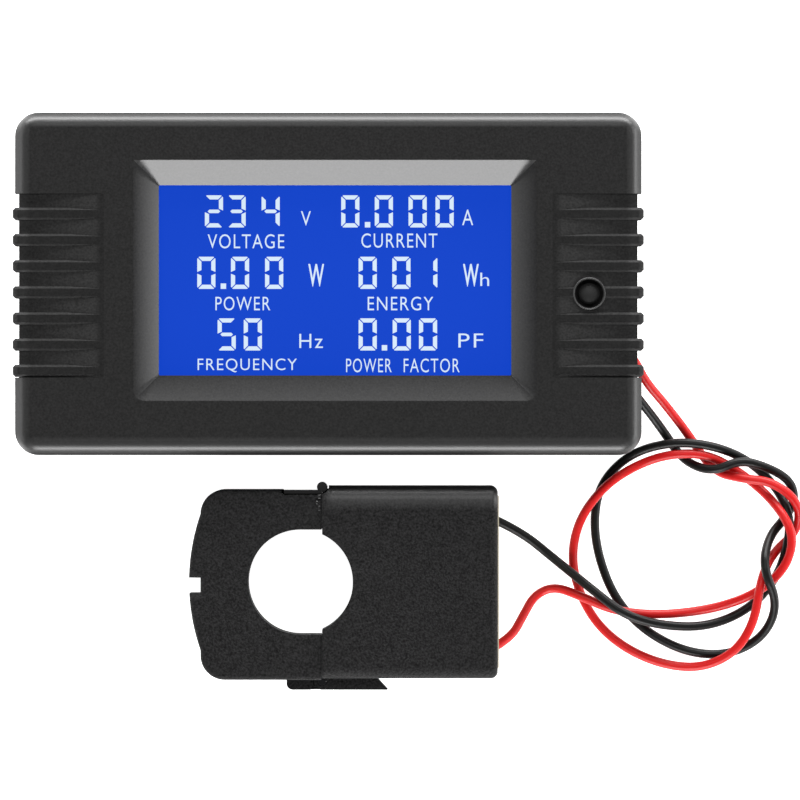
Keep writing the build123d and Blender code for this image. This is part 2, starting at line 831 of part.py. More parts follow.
# Electrolytic capacitor, lying under the board, with its crimped waist
can_radius = (room_under_board - can_floor_gap - fit_gap) / 2
can_x = board_left_x + can_inset
can_z = board_bottom - can_radius - fit_gap

with BuildPart() as electrolytic_capacitor:
    with BuildSketch(Plane.YZ.offset(can_x)):
        with Locations((can_y, can_z)):
            Circle(can_radius)
    extrude(amount=can_length)
    with BuildSketch(Plane.YZ.offset(can_x + can_length - can_waist_end - can_waist)):
        with Locations((can_y, can_z)):
            Circle(can_radius)
            Circle(can_radius - can_waist_depth, mode=Mode.SUBTRACT)
    extrude(amount=can_waist, mode=Mode.SUBTRACT)
save(electrolytic_capacitor, "electrolytic_capacitor")

# Varistor disc across the mains input, with the neck that its wires leave by
varistor_radius = (room_under_board - part_floor_gap - varistor_board_gap) / 2
varistor_z = board_bottom - varistor_board_gap - varistor_radius

with BuildPart() as varistor:
    with BuildSketch(Plane.YZ.offset(varistor_x)):
        with Locations((varistor_y, varistor_z)):
            Circle(varistor_radius)
        with Locations((varistor_y, varistor_z + (board_bottom - varistor_z) / 2)):
            Rectangle(varistor_neck_width, board_bottom - varistor_z)
    extrude(amount=varistor_thickness)
    chamfer(varistor.edges().filter_by(GeomType.CIRCLE), part_edge)
save(varistor, "varistor")

# Rectifier diodes beyond the can
with BuildPart() as rectifier_diodes:
    with BuildSketch(Plane.XY.offset(board_bottom - diode_height)):
        with Locations((can_x + can_length + diode_gap + diode_length / 2, diode_y)):
            with GridLocations(0, diode_pitch, 1, diode_count):
                Rectangle(diode_length, diode_width)
    extrude(amount=diode_height)
    chamfer(rectifier_diodes.faces().group_by(Axis.Z)[0].edges(), part_edge)
save(rectifier_diodes, "rectifier_diodes")

# Divider resistors and the burden resistors of the current input, beside the terminals
resistor_span = (resistor_count - 1) * resistor_pitch + resistor_width
resistor_x = terminal_back_x - resistor_gap - resistor_span / 2

with BuildPart() as divider_resistors:
    with BuildSketch(Plane.XY.offset(board_bottom - resistor_height)):
        with Locations((resistor_x, resistor_y)):
            with GridLocations(resistor_pitch, 0, resistor_count, 1):
                Rectangle(resistor_width, resistor_length)
    extrude(amount=resistor_height)
save(divider_resistors, "divider_resistors")

with BuildPart() as burden_resistors:
    with BuildSketch(Plane.YZ.offset(terminal_back_x - burden_gap - burden_length)):
        with Locations((burden_y, board_bottom - burden_radius)):
            with GridLocations(burden_pitch, 0, burden_count, 1):
                Circle(burden_radius)
    extrude(amount=burden_length)
    chamfer(burden_resistors.edges().filter_by(GeomType.CIRCLE), part_edge)
save(burden_resistors, "burden_resistors")

# Clock crystal in its can, on the front of the board
with BuildPart() as clock_crystal:
    with BuildSketch(Plane.XY.offset(board_top)):
        with Locations((board_left_x + crystal_inset, crystal_y)):
            SlotOverall(crystal_length, crystal_width, rotation=90)
    extrude(amount=crystal_height)
    chamfer(clock_crystal.faces().sort_by(Axis.Z)[-1].edges(), part_edge)
save(clock_crystal, "clock_crystal")

# Transformer body shell: a box open at its right-hand end, with half of the bore
ct_body_length = ct_right_x - ct_seam_x
strap_outer_y = hinge_y - hinge_radius
ct_bottom_y = ct_bore_y - ct_half_height
jaw_face_x = ct_seam_x - seam_gap
hinge_low_z = ct_mid_z - hinge_length / 2
knuckle_third = hinge_length / 3


def hinge_clearance():
    """Sketch of the space round the knuckles that lets the two leaves swing past each other."""
    with Locations((ct_seam_x, hinge_y)):
        Circle(hinge_radius + hinge_play)
    Polygon(
        (ct_seam_x, hinge_y),
        (ct_seam_x - hinge_relief, strap_outer_y),
        (ct_seam_x + hinge_relief, strap_outer_y),
        align=None,
    )


def strap_leaf(x_from, x_to, inner_y):
    """Sketch of a hinge leaf in the XY plane, between two X values."""
    with Locations(((x_from + x_to) / 2, (strap_outer_y + inner_y) / 2)):
        Rectangle(x_to - x_from, inner_y - strap_outer_y)


with BuildPart() as ct_body_shell:
    with BuildSketch():
        with Locations((ct_seam_x, ct_bore_y)):
            Rectangle(ct_body_length, 2 * ct_half_height, align=(Align.MIN, Align.CENTER))
    extrude(amount=ct_thickness)
    fillet(ct_body_shell.edges().filter_by(Axis.X), ct_long_edge)
    fillet(ct_body_shell.faces().sort_by(Axis.X)[-1].edges(), ct_end_edge)
    with BuildSketch(Plane.XY.offset(hinge_low_z)):
        strap_leaf(ct_seam_x, strap_right_x - strap_slant, ct_bottom_y + ct_wall / 2)
        with BuildLine():
            Polyline(
                (strap_right_x - 2 * strap_slant, ct_bottom_y),
                (strap_right_x - strap_slant, ct_bottom_y),
                (strap_right_x, strap_outer_y),
                (strap_right_x - 2 * strap_slant, strap_outer_y),
                close=True,
            )
        make_face()
    extrude(amount=hinge_length)
    with BuildSketch(Plane.XY.offset(ct_wall)):
        with Locations((ct_seam_x + ct_wall, ct_bore_y)):
            Rectangle(
                ct_body_length,
                2 * (ct_half_height - ct_wall),
                align=(Align.MIN, Align.CENTER),
            )
        with Locations((ct_bore_x, ct_bore_y)):
            Circle(ct_bore_wall_radius, mode=Mode.SUBTRACT)
    extrude(amount=ct_thickness - 2 * ct_wall, mode=Mode.SUBTRACT)
    with BuildSketch():
        with Locations((ct_bore_x, ct_bore_y)):
            Circle(ct_bore_radius)
    extrude(amount=ct_thickness, mode=Mode.SUBTRACT)
    with BuildSketch(Plane.YZ.offset(ct_seam_x)):
        with Locations((ct_bore_y, ct_mid_z)):
            with GridLocations(2 * core_leg_y, 0, 2, 1):
                Rectangle(core_leg + 2 * fit_gap, core_depth + 2 * fit_gap)
    extrude(amount=2 * ct_wall, mode=Mode.SUBTRACT)
    with BuildSketch(Plane.XY.offset(hinge_low_z)):
        hinge_clearance()
    extrude(amount=hinge_length, mode=Mode.SUBTRACT)
    for knuckle_z in (hinge_low_z, hinge_low_z + 2 * knuckle_third):
        with BuildSketch(Plane.XY.offset(knuckle_z)):
            with Locations((ct_seam_x, hinge_y)):
                Circle(hinge_radius)
                Rectangle(
                    hinge_radius + 2 * hinge_play,
                    2 * hinge_radius,
                    align=(Align.MIN, Align.CENTER),
                )
        extrude(amount=knuckle_third)
    with BuildSketch(Plane.XY.offset(hinge_low_z)):
        with Locations((ct_seam_x, hinge_y)):
            Circle(hinge_pin_radius + pin_gap / 2)
    extrude(amount=hinge_length, mode=Mode.SUBTRACT)
    with BuildSketch(Plane.XY.offset(jaw_inset + catch_web)):
        with Locations((ct_seam_x, catch_y)):
            Circle(catch_radius + hinge_play)
    extrude(amount=ct_thickness, mode=Mode.SUBTRACT)
save(ct_body_shell, "ct_body_shell")

# Hinge pin of the jaw
with BuildPart() as ct_hinge_pin:
    with BuildSketch(Plane.XY.offset(hinge_low_z)):
        with Locations((ct_seam_x, hinge_y)):
            Circle(hinge_pin_radius)
    extrude(amount=hinge_length)
save(ct_hinge_pin, "ct_hinge_pin")

# Jaw shell: round-cornered hook with the other half of the bore and two finger lobes
jaw_top_y = ct_bore_y + jaw_top
jaw_bottom_y = ct_bore_y - jaw_bottom
jaw_mid_y = (jaw_top_y + jaw_bottom_y) / 2
jaw_height = jaw_top + jaw_bottom
jaw_thickness = ct_thickness - 2 * jaw_inset
catch_arm_y = jaw_top_y - pin_gap
catch_root_x = jaw_face_x - catch_arm_length
catch_floor_y = catch_arm_y - catch_arm_thickness - fit_gap

with BuildPart() as ct_jaw_shell:
    with BuildSketch(Plane.XY.offset(jaw_inset)) as jaw_outline:
        with Locations((jaw_left_x, jaw_mid_y)):
            Rectangle(jaw_face_x - jaw_left_x, jaw_height, align=(Align.MIN, Align.CENTER))
        fillet(jaw_outline.vertices().group_by(Axis.X)[0], jaw_corner)
        with BuildLine():
            ThreePointArc(
                (jaw_left_x, ct_bore_y + lobe_half_length),
                (jaw_left_x - lobe_bulge, ct_bore_y),
                (jaw_left_x, ct_bore_y - lobe_half_length),
            )
            Line((jaw_left_x, ct_bore_y - lobe_half_length), (jaw_left_x + jaw_wall / 2, ct_bore_y))
            Line((jaw_left_x + jaw_wall / 2, ct_bore_y), (jaw_left_x, ct_bore_y + lobe_half_length))
        make_face()
        with Locations((jaw_left_x, ct_bore_y - lobe_notch_drop)):
            Rectangle(2 * lobe_bulge, lobe_notch, align=(Align.MAX, Align.CENTER), mode=Mode.SUBTRACT)
    extrude(amount=jaw_thickness)
    rim = ct_jaw_shell.edges().filter_by(lambda edge: edge.center().X < jaw_face_x - 0.01)
    fillet(rim.filter_by(Plane.XY), jaw_edge)
    with BuildSketch(Plane.XY.offset(hinge_low_z)):
        strap_leaf(strap_left_x, jaw_face_x, jaw_bottom_y + jaw_wall / 2)
    extrude(amount=hinge_length)
    fillet(
        ct_jaw_shell.edges().filter_by(Axis.Z).sort_by_distance((strap_left_x, strap_outer_y, ct_mid_z))[0],
        hinge_radius - running_gap,
    )
    with BuildSketch(Plane.XY.offset(jaw_inset + jaw_wall)):
        with Locations((jaw_left_x + jaw_wall, jaw_mid_y)):
            Rectangle(
                jaw_face_x - jaw_left_x - 2 * jaw_wall,
                jaw_height - 2 * jaw_wall,
                align=(Align.MIN, Align.CENTER),
            )
        with Locations((ct_bore_x, ct_bore_y)):
            Circle(ct_bore_wall_radius, mode=Mode.SUBTRACT)
            Rectangle(
                jaw_face_x - ct_bore_x,
                2 * ct_bore_wall_radius,
                align=(Align.MIN, Align.CENTER),
                mode=Mode.SUBTRACT,
            )
    extrude(amount=jaw_thickness - 2 * jaw_wall, mode=Mode.SUBTRACT)
    with BuildSketch(Plane.XY.offset(jaw_inset)):
        with Locations((ct_bore_x, ct_bore_y)):
            Circle(ct_bore_radius)
            Rectangle(
                jaw_face_x - ct_bore_x,
                2 * ct_bore_radius,
                align=(Align.MIN, Align.CENTER),
            )
    extrude(amount=jaw_thickness, mode=Mode.SUBTRACT)
    with BuildSketch(Plane.YZ.offset(jaw_face_x)):
        with Locations((ct_bore_y, ct_mid_z)):
            with GridLocations(2 * core_leg_y, 0, 2, 1):
                Rectangle(core_leg + 2 * fit_gap, core_depth + 2 * fit_gap)
    extrude(amount=-2 * jaw_wall, mode=Mode.SUBTRACT)
    with BuildSketch(Plane.XY.offset(jaw_inset + catch_web)):
        with Locations((catch_root_x, catch_floor_y)):
            Rectangle(catch_arm_length, 2 * catch_arm_thickness, align=(Align.MIN, Align.MIN))
            Circle(catch_root_radius + pin_gap, align=(Align.CENTER, Align.MIN))
        with Locations((ct_seam_x, catch_y)):
            Circle(catch_radius + hinge_play)
    extrude(amount=jaw_thickness, mode=Mode.SUBTRACT)
    with BuildSketch(Plane.XY.offset(hinge_low_z)):
        hinge_clearance()
    extrude(amount=hinge_length, mode=Mode.SUBTRACT)
    with BuildSketch(Plane.XY.offset(hinge_low_z + knuckle_third + hinge_play / 2)):
        with Locations((ct_seam_x, hinge_y)):
            Circle(hinge_radius)
            Rectangle(hinge_radius + 2 * hinge_play, 2 * hinge_radius, align=(Align.MAX, Align.CENTER))
    extrude(amount=knuckle_third - hinge_play)
    with BuildSketch(Plane.XY.offset(hinge_low_z)):
        with Locations((ct_seam_x, hinge_y)):
            Circle(hinge_pin_radius + pin_gap)
    extrude(amount=hinge_length, mode=Mode.SUBTRACT)
save(ct_jaw_shell, "ct_jaw_shell")

# Catch: a sprung arm in the jaw's top wall, with the bead that snaps over the body's edge
with BuildPart() as ct_catch:
    with BuildSketch(Plane.XY.offset(jaw_inset + catch_end_gap)):
        with Locations((ct_seam_x, catch_y)):
            Circle(catch_radius)
        with Locations((catch_root_x + pin_gap, catch_arm_y)):
            Rectangle(catch_arm_length, catch_arm_thickness, align=(Align.MIN, Align.MAX))
    extrude(amount=jaw_thickness - 2 * catch_end_gap)
save(ct_catch, "ct_catch")


def core_half(name, face_x, cross_x, cross_width):
    """A U-shaped core half: two legs that meet the seam and the bar that joins them."""
    left = min(face_x, cross_x - cross_width / 2)
    right = max(face_x, cross_x + cross_width / 2)
    with BuildPart() as core:
        with BuildSketch(Plane.XY.offset(ct_mid_z - core_depth / 2)):
            with Locations(((left + right) / 2, ct_bore_y)):
                with GridLocations(0, 2 * core_leg_y, 1, 2):
                    Rectangle(right - left, core_leg)
            with Locations((cross_x, ct_bore_y)):
                Rectangle(cross_width, 2 * core_leg_y)
        extrude(amount=core_depth)
    save(core, name)


jaw_core_x = jaw_left_x + jaw_wall + 3 * spring_thickness + jaw_core_cross / 2
core_half("ct_core_fixed", ct_seam_x, core_cross_x, core_cross)
core_half("ct_core_jaw", jaw_face_x, jaw_core_x, jaw_core_cross)

# Leaf spring that pushes the jaw's core half against the seam: bowed between its two ends
spring_back_x = jaw_left_x + jaw_wall + pin_gap
spring_front_x = jaw_core_x - jaw_core_cross / 2 - pin_gap
spring_reach = core_leg_y * 0.7
bow_start = (spring_back_x, ct_bore_y - spring_reach)
bow_end = (spring_back_x, ct_bore_y + spring_reach)

with BuildPart() as ct_core_spring:
    with BuildSketch(Plane.XY.offset(ct_mid_z - core_depth / 4)):
        with BuildLine():
            ThreePointArc(bow_start, (spring_front_x - spring_thickness, ct_bore_y), bow_end)
            Line(bow_end, (spring_back_x + spring_thickness, ct_bore_y + spring_reach))
            ThreePointArc(
                (spring_back_x + spring_thickness, ct_bore_y + spring_reach),
                (spring_front_x, ct_bore_y),
                (spring_back_x + spring_thickness, ct_bore_y - spring_reach),
            )
            Line((spring_back_x + spring_thickness, ct_bore_y - spring_reach), bow_start)
        make_face()
    extrude(amount=core_depth / 2)
save(ct_core_spring, "ct_core_spring")

# Bobbin on the fixed core's bar, with a flange at each end, and the winding between them
bobbin_hole_x = core_cross + 2 * fit_gap
bobbin_hole_z = core_depth + 2 * fit_gap
bobbin_tube_x = bobbin_hole_x + 2 * bobbin_wall
bobbin_tube_z = bobbin_hole_z + 2 * bobbin_wall
winding_x = bobbin_tube_x + 2 * winding_height
winding_z = bobbin_tube_z + 2 * winding_height / 2
bobbin_length = 2 * (core_leg_y - core_leg / 2 - fit_gap)

with BuildPart() as ct_bobbin:
    with BuildSketch(Plane.XZ.offset(-ct_bore_y - bobbin_length / 2)):
        with Locations((core_cross_x, ct_mid_z)):
            Rectangle(bobbin_tube_x, bobbin_tube_z)
    extrude(amount=bobbin_length)
    for flange_y in (-ct_bore_y - bobbin_length / 2, -ct_bore_y + bobbin_length / 2 - bobbin_wall):
        with BuildSketch(Plane.XZ.offset(flange_y)):
            with Locations((core_cross_x, ct_mid_z)):
                RectangleRounded(winding_x + bobbin_wall, winding_z + bobbin_wall, bobbin_wall)
        extrude(amount=bobbin_wall)
    with BuildSketch(Plane.XZ.offset(-ct_bore_y - bobbin_length / 2)):
        with Locations((core_cross_x, ct_mid_z)):
            Rectangle(bobbin_hole_x, bobbin_hole_z)
    extrude(amount=bobbin_length, mode=Mode.SUBTRACT)
save(ct_bobbin, "ct_bobbin")

with BuildPart() as ct_winding:
    with BuildSketch(Plane.XZ.offset(-ct_bore_y - bobbin_length / 2 + bobbin_wall)):
        with Locations((core_cross_x, ct_mid_z)):
            RectangleRounded(winding_x, winding_z, winding_height / 2)
            Rectangle(bobbin_tube_x, bobbin_tube_z, mode=Mode.SUBTRACT)
    extrude(amount=bobbin_length - 2 * bobbin_wall)
save(ct_winding, "ct_winding")

def lead(name, route):
    """One free lead: straight runs joined by arcs as large as the runs allow."""
    points = [Vector(point) for point in route]
    radii = []
    for before, here, after in zip(points, points[1:], points[2:]):
        shorter = min((here - before).length, (after - here).length)
        turn = radians((here - before).get_angle(after - here))
        radii.append(0.45 * shorter / tan(turn / 2))
    with BuildPart() as tube:
        with BuildLine() as path:
            FilletPolyline(*points, radius=radii)
        with BuildSketch(Plane(origin=points[0], z_dir=path.line % 0)) as section:
            RegularPolygon(lead_diameter / 2, lead_sides)
        sweep(path=path.line)
    length = sum(edge.length for edge in path.edges())
    print(name, "radii", [round(radius, 1) for radius in radii])
    along = tube.part.volume / section.sketch.area
    print(name, "length", round(length, 1), "volume over section", round(along, 1))
    save(tube, name)
    return tube.part


# Potting that closes the right-hand end and is cast round the two leads
lead_black = lead("ct_lead_black", black_route)
lead_red = lead("ct_lead_red", red_route)

with BuildPart() as ct_potting:
    with BuildSketch(Plane.YZ.offset(ct_right_x - potting_depth)):
        with Locations((ct_bore_y, ct_mid_z)):
            Rectangle(2 * (ct_half_height - ct_wall) - fit_gap, ct_thickness - 2 * ct_wall - fit_gap)
    extrude(amount=potting_depth + potting_proud)
    add([lead_black, lead_red], mode=Mode.SUBTRACT)
save(ct_potting, "ct_potting")

# Ferrules on the ends of the two leads, crimped and clamped in the two lowest poles
lead_end_x = terminal_front_x + ferrule_stand_off

with BuildPart() as lead_ferrules:
    for pole_y in pole_places()[:2]:
        with BuildSketch(Plane.YZ.offset(lead_end_x)):
            with Locations((pole_y, entry_z)):
                Circle(ferrule_collar_radius)
        extrude(amount=-ferrule_collar_length)
        with BuildSketch(Plane.YZ.offset(lead_end_x)):
            with Locations((pole_y, entry_z)):
                Circle(conductor_radius)
        extrude(amount=clamp_x - clamp_length / 2 - lead_end_x)
save(lead_ferrules, "lead_ferrules")
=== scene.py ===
from math import cos, radians, sin
from typing import NamedTuple

import bpy
from bpy.props import FloatProperty, FloatVectorProperty, PointerProperty
from bpy.types import NodeSocket, Operator, Panel, PropertyGroup
from mathutils import Matrix, Vector


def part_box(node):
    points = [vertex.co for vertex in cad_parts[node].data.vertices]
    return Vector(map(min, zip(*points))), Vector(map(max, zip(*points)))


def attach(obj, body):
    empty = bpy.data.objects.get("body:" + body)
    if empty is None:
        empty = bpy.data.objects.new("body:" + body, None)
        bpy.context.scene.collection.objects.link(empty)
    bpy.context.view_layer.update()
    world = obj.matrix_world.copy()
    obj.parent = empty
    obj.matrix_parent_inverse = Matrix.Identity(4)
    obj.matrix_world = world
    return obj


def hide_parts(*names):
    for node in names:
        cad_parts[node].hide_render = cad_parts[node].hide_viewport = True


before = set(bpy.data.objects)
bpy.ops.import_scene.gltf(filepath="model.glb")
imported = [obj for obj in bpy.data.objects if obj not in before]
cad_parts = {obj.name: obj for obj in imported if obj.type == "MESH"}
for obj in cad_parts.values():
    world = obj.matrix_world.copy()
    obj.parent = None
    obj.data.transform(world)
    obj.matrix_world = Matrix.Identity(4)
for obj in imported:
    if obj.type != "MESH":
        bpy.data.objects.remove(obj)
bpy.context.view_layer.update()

# Looks of an AC power meter with its split-core current transformer. Lengths are in metres, in the
# frame of the packed model: the origin is the centre of the case's back, +Z points out of the display.

bl_info = {
    "name": "AC Power Meter",
    "version": (1, 0, 0),
    "blender": (4, 5, 0),
    "location": "View3D > Sidebar > Power Meter",
    "description": "Dresses a panel power meter and its current transformer",
    "category": "Object",
}

bpy.ops.object.select_all(action="DESELECT")

MM = 0.001
METER = "meter_and_transformer"
JAW = "transformer_jaw"

# Routes of the leads, from the transformer's end to the terminal
BLACK_ROUTE = [
    (0.0232, -0.0335, 0.0044), (0.0275, -0.0354, 0.0028), (0.0326, -0.0396, 0.0015),
    (0.0383, -0.0442, 0.0036), (0.0426, -0.0476, 0.0041), (0.048, -0.0491, 0.0026),
    (0.0545, -0.0493, 0.0009), (0.0603, -0.0469, 0.00065), (0.0642, -0.0428, 0.00065),
    (0.0661, -0.0378, 0.0024), (0.0664, -0.0332, 0.0026), (0.0644, -0.029, 0.00065),
    (0.0604, -0.0252, 0.00065), (0.0552, -0.0231, 0.0025), (0.0495, -0.0226, 0.0025),
    (0.0435, -0.0242, 0.00065), (0.0392, -0.0284, 0.00065), (0.0381, -0.0336, 0.00065),
    (0.0388, -0.0392, 0.00065), (0.0412, -0.0453, 0.00065), (0.0456, -0.05, 0.00065),
    (0.0516, -0.053, 0.00065), (0.0575, -0.0534, 0.00065), (0.0626, -0.0508, 0.0014),
    (0.0647, -0.046, 0.0036), (0.0624, -0.0406, 0.006), (0.0633, -0.0363, 0.002),
    (0.0658, -0.0335, 0.00065), (0.0672, -0.0309, 0.00065), (0.0664, -0.0281, 0.0009),
    (0.063, -0.0262, 0.0022), (0.0592, -0.0252, 0.003), (0.0552, -0.027, 0.003),
    (0.051, -0.0254, 0.00065), (0.048, -0.0208, 0.0008), (0.0452, -0.0172, 0.0034),
    (0.0432, -0.0147, 0.0054), (0.0409, -0.0135, 0.0062), (0.0384, -0.0135, 0.0062),
]
RED_ROUTE = [
    (0.0232, -0.0525, 0.0045), (0.0262, -0.0509, 0.0032), (0.028, -0.0476, 0.0016),
    (0.0296, -0.0447, 0.0008), (0.0325, -0.0434, 0.0012), (0.0364, -0.0449, 0.0024),
    (0.041, -0.0469, 0.0025), (0.046, -0.0475, 0.0023), (0.0512, -0.0473, 0.0008),
    (0.0568, -0.0463, 0.0009), (0.0618, -0.0443, 0.0026), (0.0656, -0.041, 0.0027),
    (0.0669, -0.037, 0.0041), (0.0659, -0.0338, 0.0041), (0.0632, -0.0303, 0.0018),
    (0.0592, -0.027, 0.00065), (0.0546, -0.0244, 0.0023), (0.0494, -0.0243, 0.0025),
    (0.0446, -0.0258, 0.001), (0.0398, -0.0288, 0.0026), (0.0362, -0.0334, 0.0018),
    (0.0349, -0.0386, 0.00065), (0.0358, -0.0439, 0.00065), (0.0386, -0.049, 0.00065),
    (0.043, -0.0526, 0.00065), (0.0484, -0.0548, 0.00065), (0.0538, -0.0552, 0.0014),
    (0.0586, -0.0529, 0.0025), (0.0613, -0.0484, 0.0032), (0.0621, -0.0426, 0.0046),
    (0.0638, -0.0387, 0.0012), (0.0676, -0.0354, 0.00065), (0.0677, -0.0314, 0.0034),
    (0.064, -0.0284, 0.0034), (0.0594, -0.0279, 0.003), (0.0553, -0.0269, 0.00065),
    (0.0518, -0.0216, 0.00065), (0.0484, -0.0172, 0.002), (0.0455, -0.0139, 0.0042),
    (0.0439, -0.0106, 0.0055), (0.0414, -0.00842, 0.0062), (0.0384, -0.00842, 0.0062),
]
BLACK_LENGTH = 0.1973
RED_LENGTH = 0.1993

# Zones of the face as (left, bottom, right, top): the display's surround, the strip and the middle
# that leave the two grips, the face inside its rounded rim and inside its outline, and the band
# along the transformer's top edge that handling has polished
SURROUND_ZONE = (-27.89 * MM, -16.75 * MM, 29.81 * MM, 17.75 * MM)
GRIP_ZONE = (-50.0 * MM, -13.4 * MM, 50.0 * MM, 12.9 * MM)
BETWEEN_GRIPS = (-32.1 * MM, -30.0 * MM, 32.1 * MM, 30.0 * MM)
FLAT_ZONE = (-43.5 * MM, -22.7 * MM, 43.5 * MM, 23.3 * MM)
OUTLINE_ZONE = (-44.75 * MM, -24.3 * MM, 44.75 * MM, 24.45 * MM)
POLISHED_BAND = (-0.9 * MM, -32.4 * MM, 25.0 * MM, -26.0 * MM)
FAR = 1.0

# Widths over which the zones fade, and depths under the case's face
SLOPE_WIDTH = 3.65 * MM
RIM_FADE = 0.9 * MM
OUTLINE_FADE = 0.8 * MM
BAND_FADE = 1.4 * MM
# The groove depth marks the floors of the grips' grooves, which get painted light
GROOVE_DEPTH = 0.02 * MM
GROOVE_FADE = 0.06 * MM
RIM_DEPTH = 1.6 * MM

# Shares of the case's gloss and grain in its zones
LOWER_SLOPE_GLOSS = 0.1
SLOPE_GRAIN_LOSS = 0.65
GRIP_GLOSS_LOSS = 0.8

# Contrast and depth of the moulded grain, and slow changes of tone and gloss
CASE_CONTRAST = 0.9
CASE_GRAIN_DEPTH = 0.014 * MM
CASE_DRIFT_SIZE = 12 * MM
CASE_DRIFT = 0.06
GLOSS_SIZE = 6 * MM
CASE_GLOSS_DRIFT = 0.005
SHELL_CONTRAST = 2.1
SHELL_DRIFT_SIZE = 16 * MM
DRIFT_GRAINS = 40
GLOSS_GRAINS = 15
TONE_DRIFT = 0.08
GLOSS_DRIFT = 0.04
SCRATCH_SIZE = 0.08 * MM
SCRATCH_CONTRAST = 0.12
SCRATCH_DEPTH = 0.004 * MM
METAL_GLOSS_SIZE = 0.6 * MM
METAL_GLOSS_DRIFT = 0.08

# Rim round the button's hole: facets across it and round it
RIM_SIDES = 14
RIM_STEPS = 72

# Seam of the transformer: top and bottom of each leg, and the width of the dark sheet of painted shade
# and the gap it fills
SEAM_LEGS = ((-29.6 * MM, -35.0 * MM), (-50.3 * MM, -56.3 * MM))
SHADE_SHEET_WIDTH = 1.1 * MM
SEAM_GAP = 0.1 * MM

# Teeth of the jaw's latch along the seam: x, y, length and width
SEAM_TEETH = (
    (-1.28 * MM, -30.4 * MM, 0.62 * MM, 0.5 * MM),
    (-1.62 * MM, -31.25 * MM, 0.5 * MM, 0.42 * MM),
    (-1.3 * MM, -32.05 * MM, 0.72 * MM, 0.34 * MM),
)

# Lit readings of the display, in millimetres from the centre of the case: the low edges of the rows,
# and by reading its row and the left edges of its digits
DIGIT_ROWS = (8.07, -0.72, -9.53)
READINGS = {
    "voltage": (0, (("2", -17.66), ("3", -14.42), ("4", -9.55))),
    "current": (0, (("0", 1.84), ("0", 6.64), ("0", 11.47), ("0", 15.33))),
    "power": (1, (("0", -18.75), ("0", -13.93), ("0", -9.05))),
    "energy": (1, (("0", 4.33), ("0", 9.15), ("1", 13.0))),
    "frequency": (2, (("5", -15.84), ("0", -12.1))),
    "power_factor": (2, (("0", 4.33), ("0", 9.2), ("0", 12.96))),
}
POINT_PLACES = {"current": 5.22, "power": -15.4, "power_factor": 7.64}
POINT_SIZE = 0.78 * MM
LIT_SEGMENTS = {"0": "abcdef", "1": "bc", "2": "abged", "3": "abgcd", "4": "fgbc", "5": "afgcd"}

# Words of the display in boxes of (left, bottom, right, top), in millimetres
LABELS = {
    "voltage": ("VOLTAGE", (-17.25, 5.07, -6.3, 7.1)),
    "current": ("CURRENT", (4.72, 5.17, 15.6, 7.22)),
    "power": ("POWER", (-16.15, -3.8, -8.3, -1.83)),
    "energy": ("ENERGY", (5.63, -3.8, 15.0, -1.83)),
    "frequency": ("FREQUENCY", (-18.7, -12.66, -4.5, -10.68)),
    "power_of_factor": ("POWER", (2.54, -12.66, 9.06, -10.68)),
    "factor_of_power": ("FACTOR", (10.78, -12.66, 18.78, -10.68)),
}
UNITS = {
    "volt": ("V", (-3.92, 8.33, -2.5, 10.4)),
    "ampere": ("A", (19.14, 8.4, 20.72, 10.62)),
    "watt": ("W", (-2.87, -0.38, -0.6, 2.85)),
    "watt_hour_w": ("W", (19.26, -0.38, 21.52, 2.85)),
    "watt_hour_h": ("h", (21.73, -0.3, 23.0, 1.6)),
    "hertz": ("Hz", (-4.15, -9.17, -0.78, -7.15)),
    "factor": ("PF", (18.6, -9.1, 22.15, -7.1)),
}
HEAVY_WORDS = ("watt", "watt_hour_w")
LETTER_SPACING = 1.14
LETTER_STEPS = 4

# Display: colour and gloss of its unlit face, and how much the film and the digits vary and shine
UNLIT_COLOUR = (0.002, 0.006, 0.03, 1.0)
UNLIT_ROUGHNESS = 0.42
GLOW_DRIFT_SIZE = 20 * MM
GLOW_GRAIN = 0.2 * MM
FILM_VARIATION = 0.03
FILM_SPECULAR = 0.06
DIGIT_VARIATION = 0.04
DIGIT_SPECULAR = 0.12

# Studio: the point under the camera, the floor, and each soft box's width, height, bearing and rise
STAGE_CENTRE = (10.25 * MM, -16.61 * MM)
FLOOR_SIZE = 3.0
FLOOR_COLOUR = (0.9, 0.9, 0.9)
FLOOR_ROUGHNESS = 0.9
FLOOR_DRIFT_SIZE = 0.2
FLOOR_DRIFT = 0.005
WHITE = (1.0, 1.0, 1.0, 1.0)
SOFT_BOXES = {
    "front": (0.4, 0.26, -90, 23),
    "upper": (0.5, 0.12, 90, 70),
    "back": (1.0, 0.24, 90, 16),
    "right": (0.6, 0.26, 0, 16),
    "left": (0.6, 0.26, 180, 16),
}
SOFT_BOX_DISTANCE = 0.6
SOFT_BOX_TARGET = (*STAGE_CENTRE, 10 * MM)
SENSOR = 36.0


class Plastic(NamedTuple):
    """Finish of a moulded plastic, glass or varnish. The grain's size and depth are in metres."""

    colour: tuple
    roughness: float
    grain: float
    contrast: float = 0.12
    depth: float = 0.00002
    specular: float = 0.5


class Metal(NamedTuple):
    """Finish of a brushed metal."""

    colour: tuple
    roughness: float


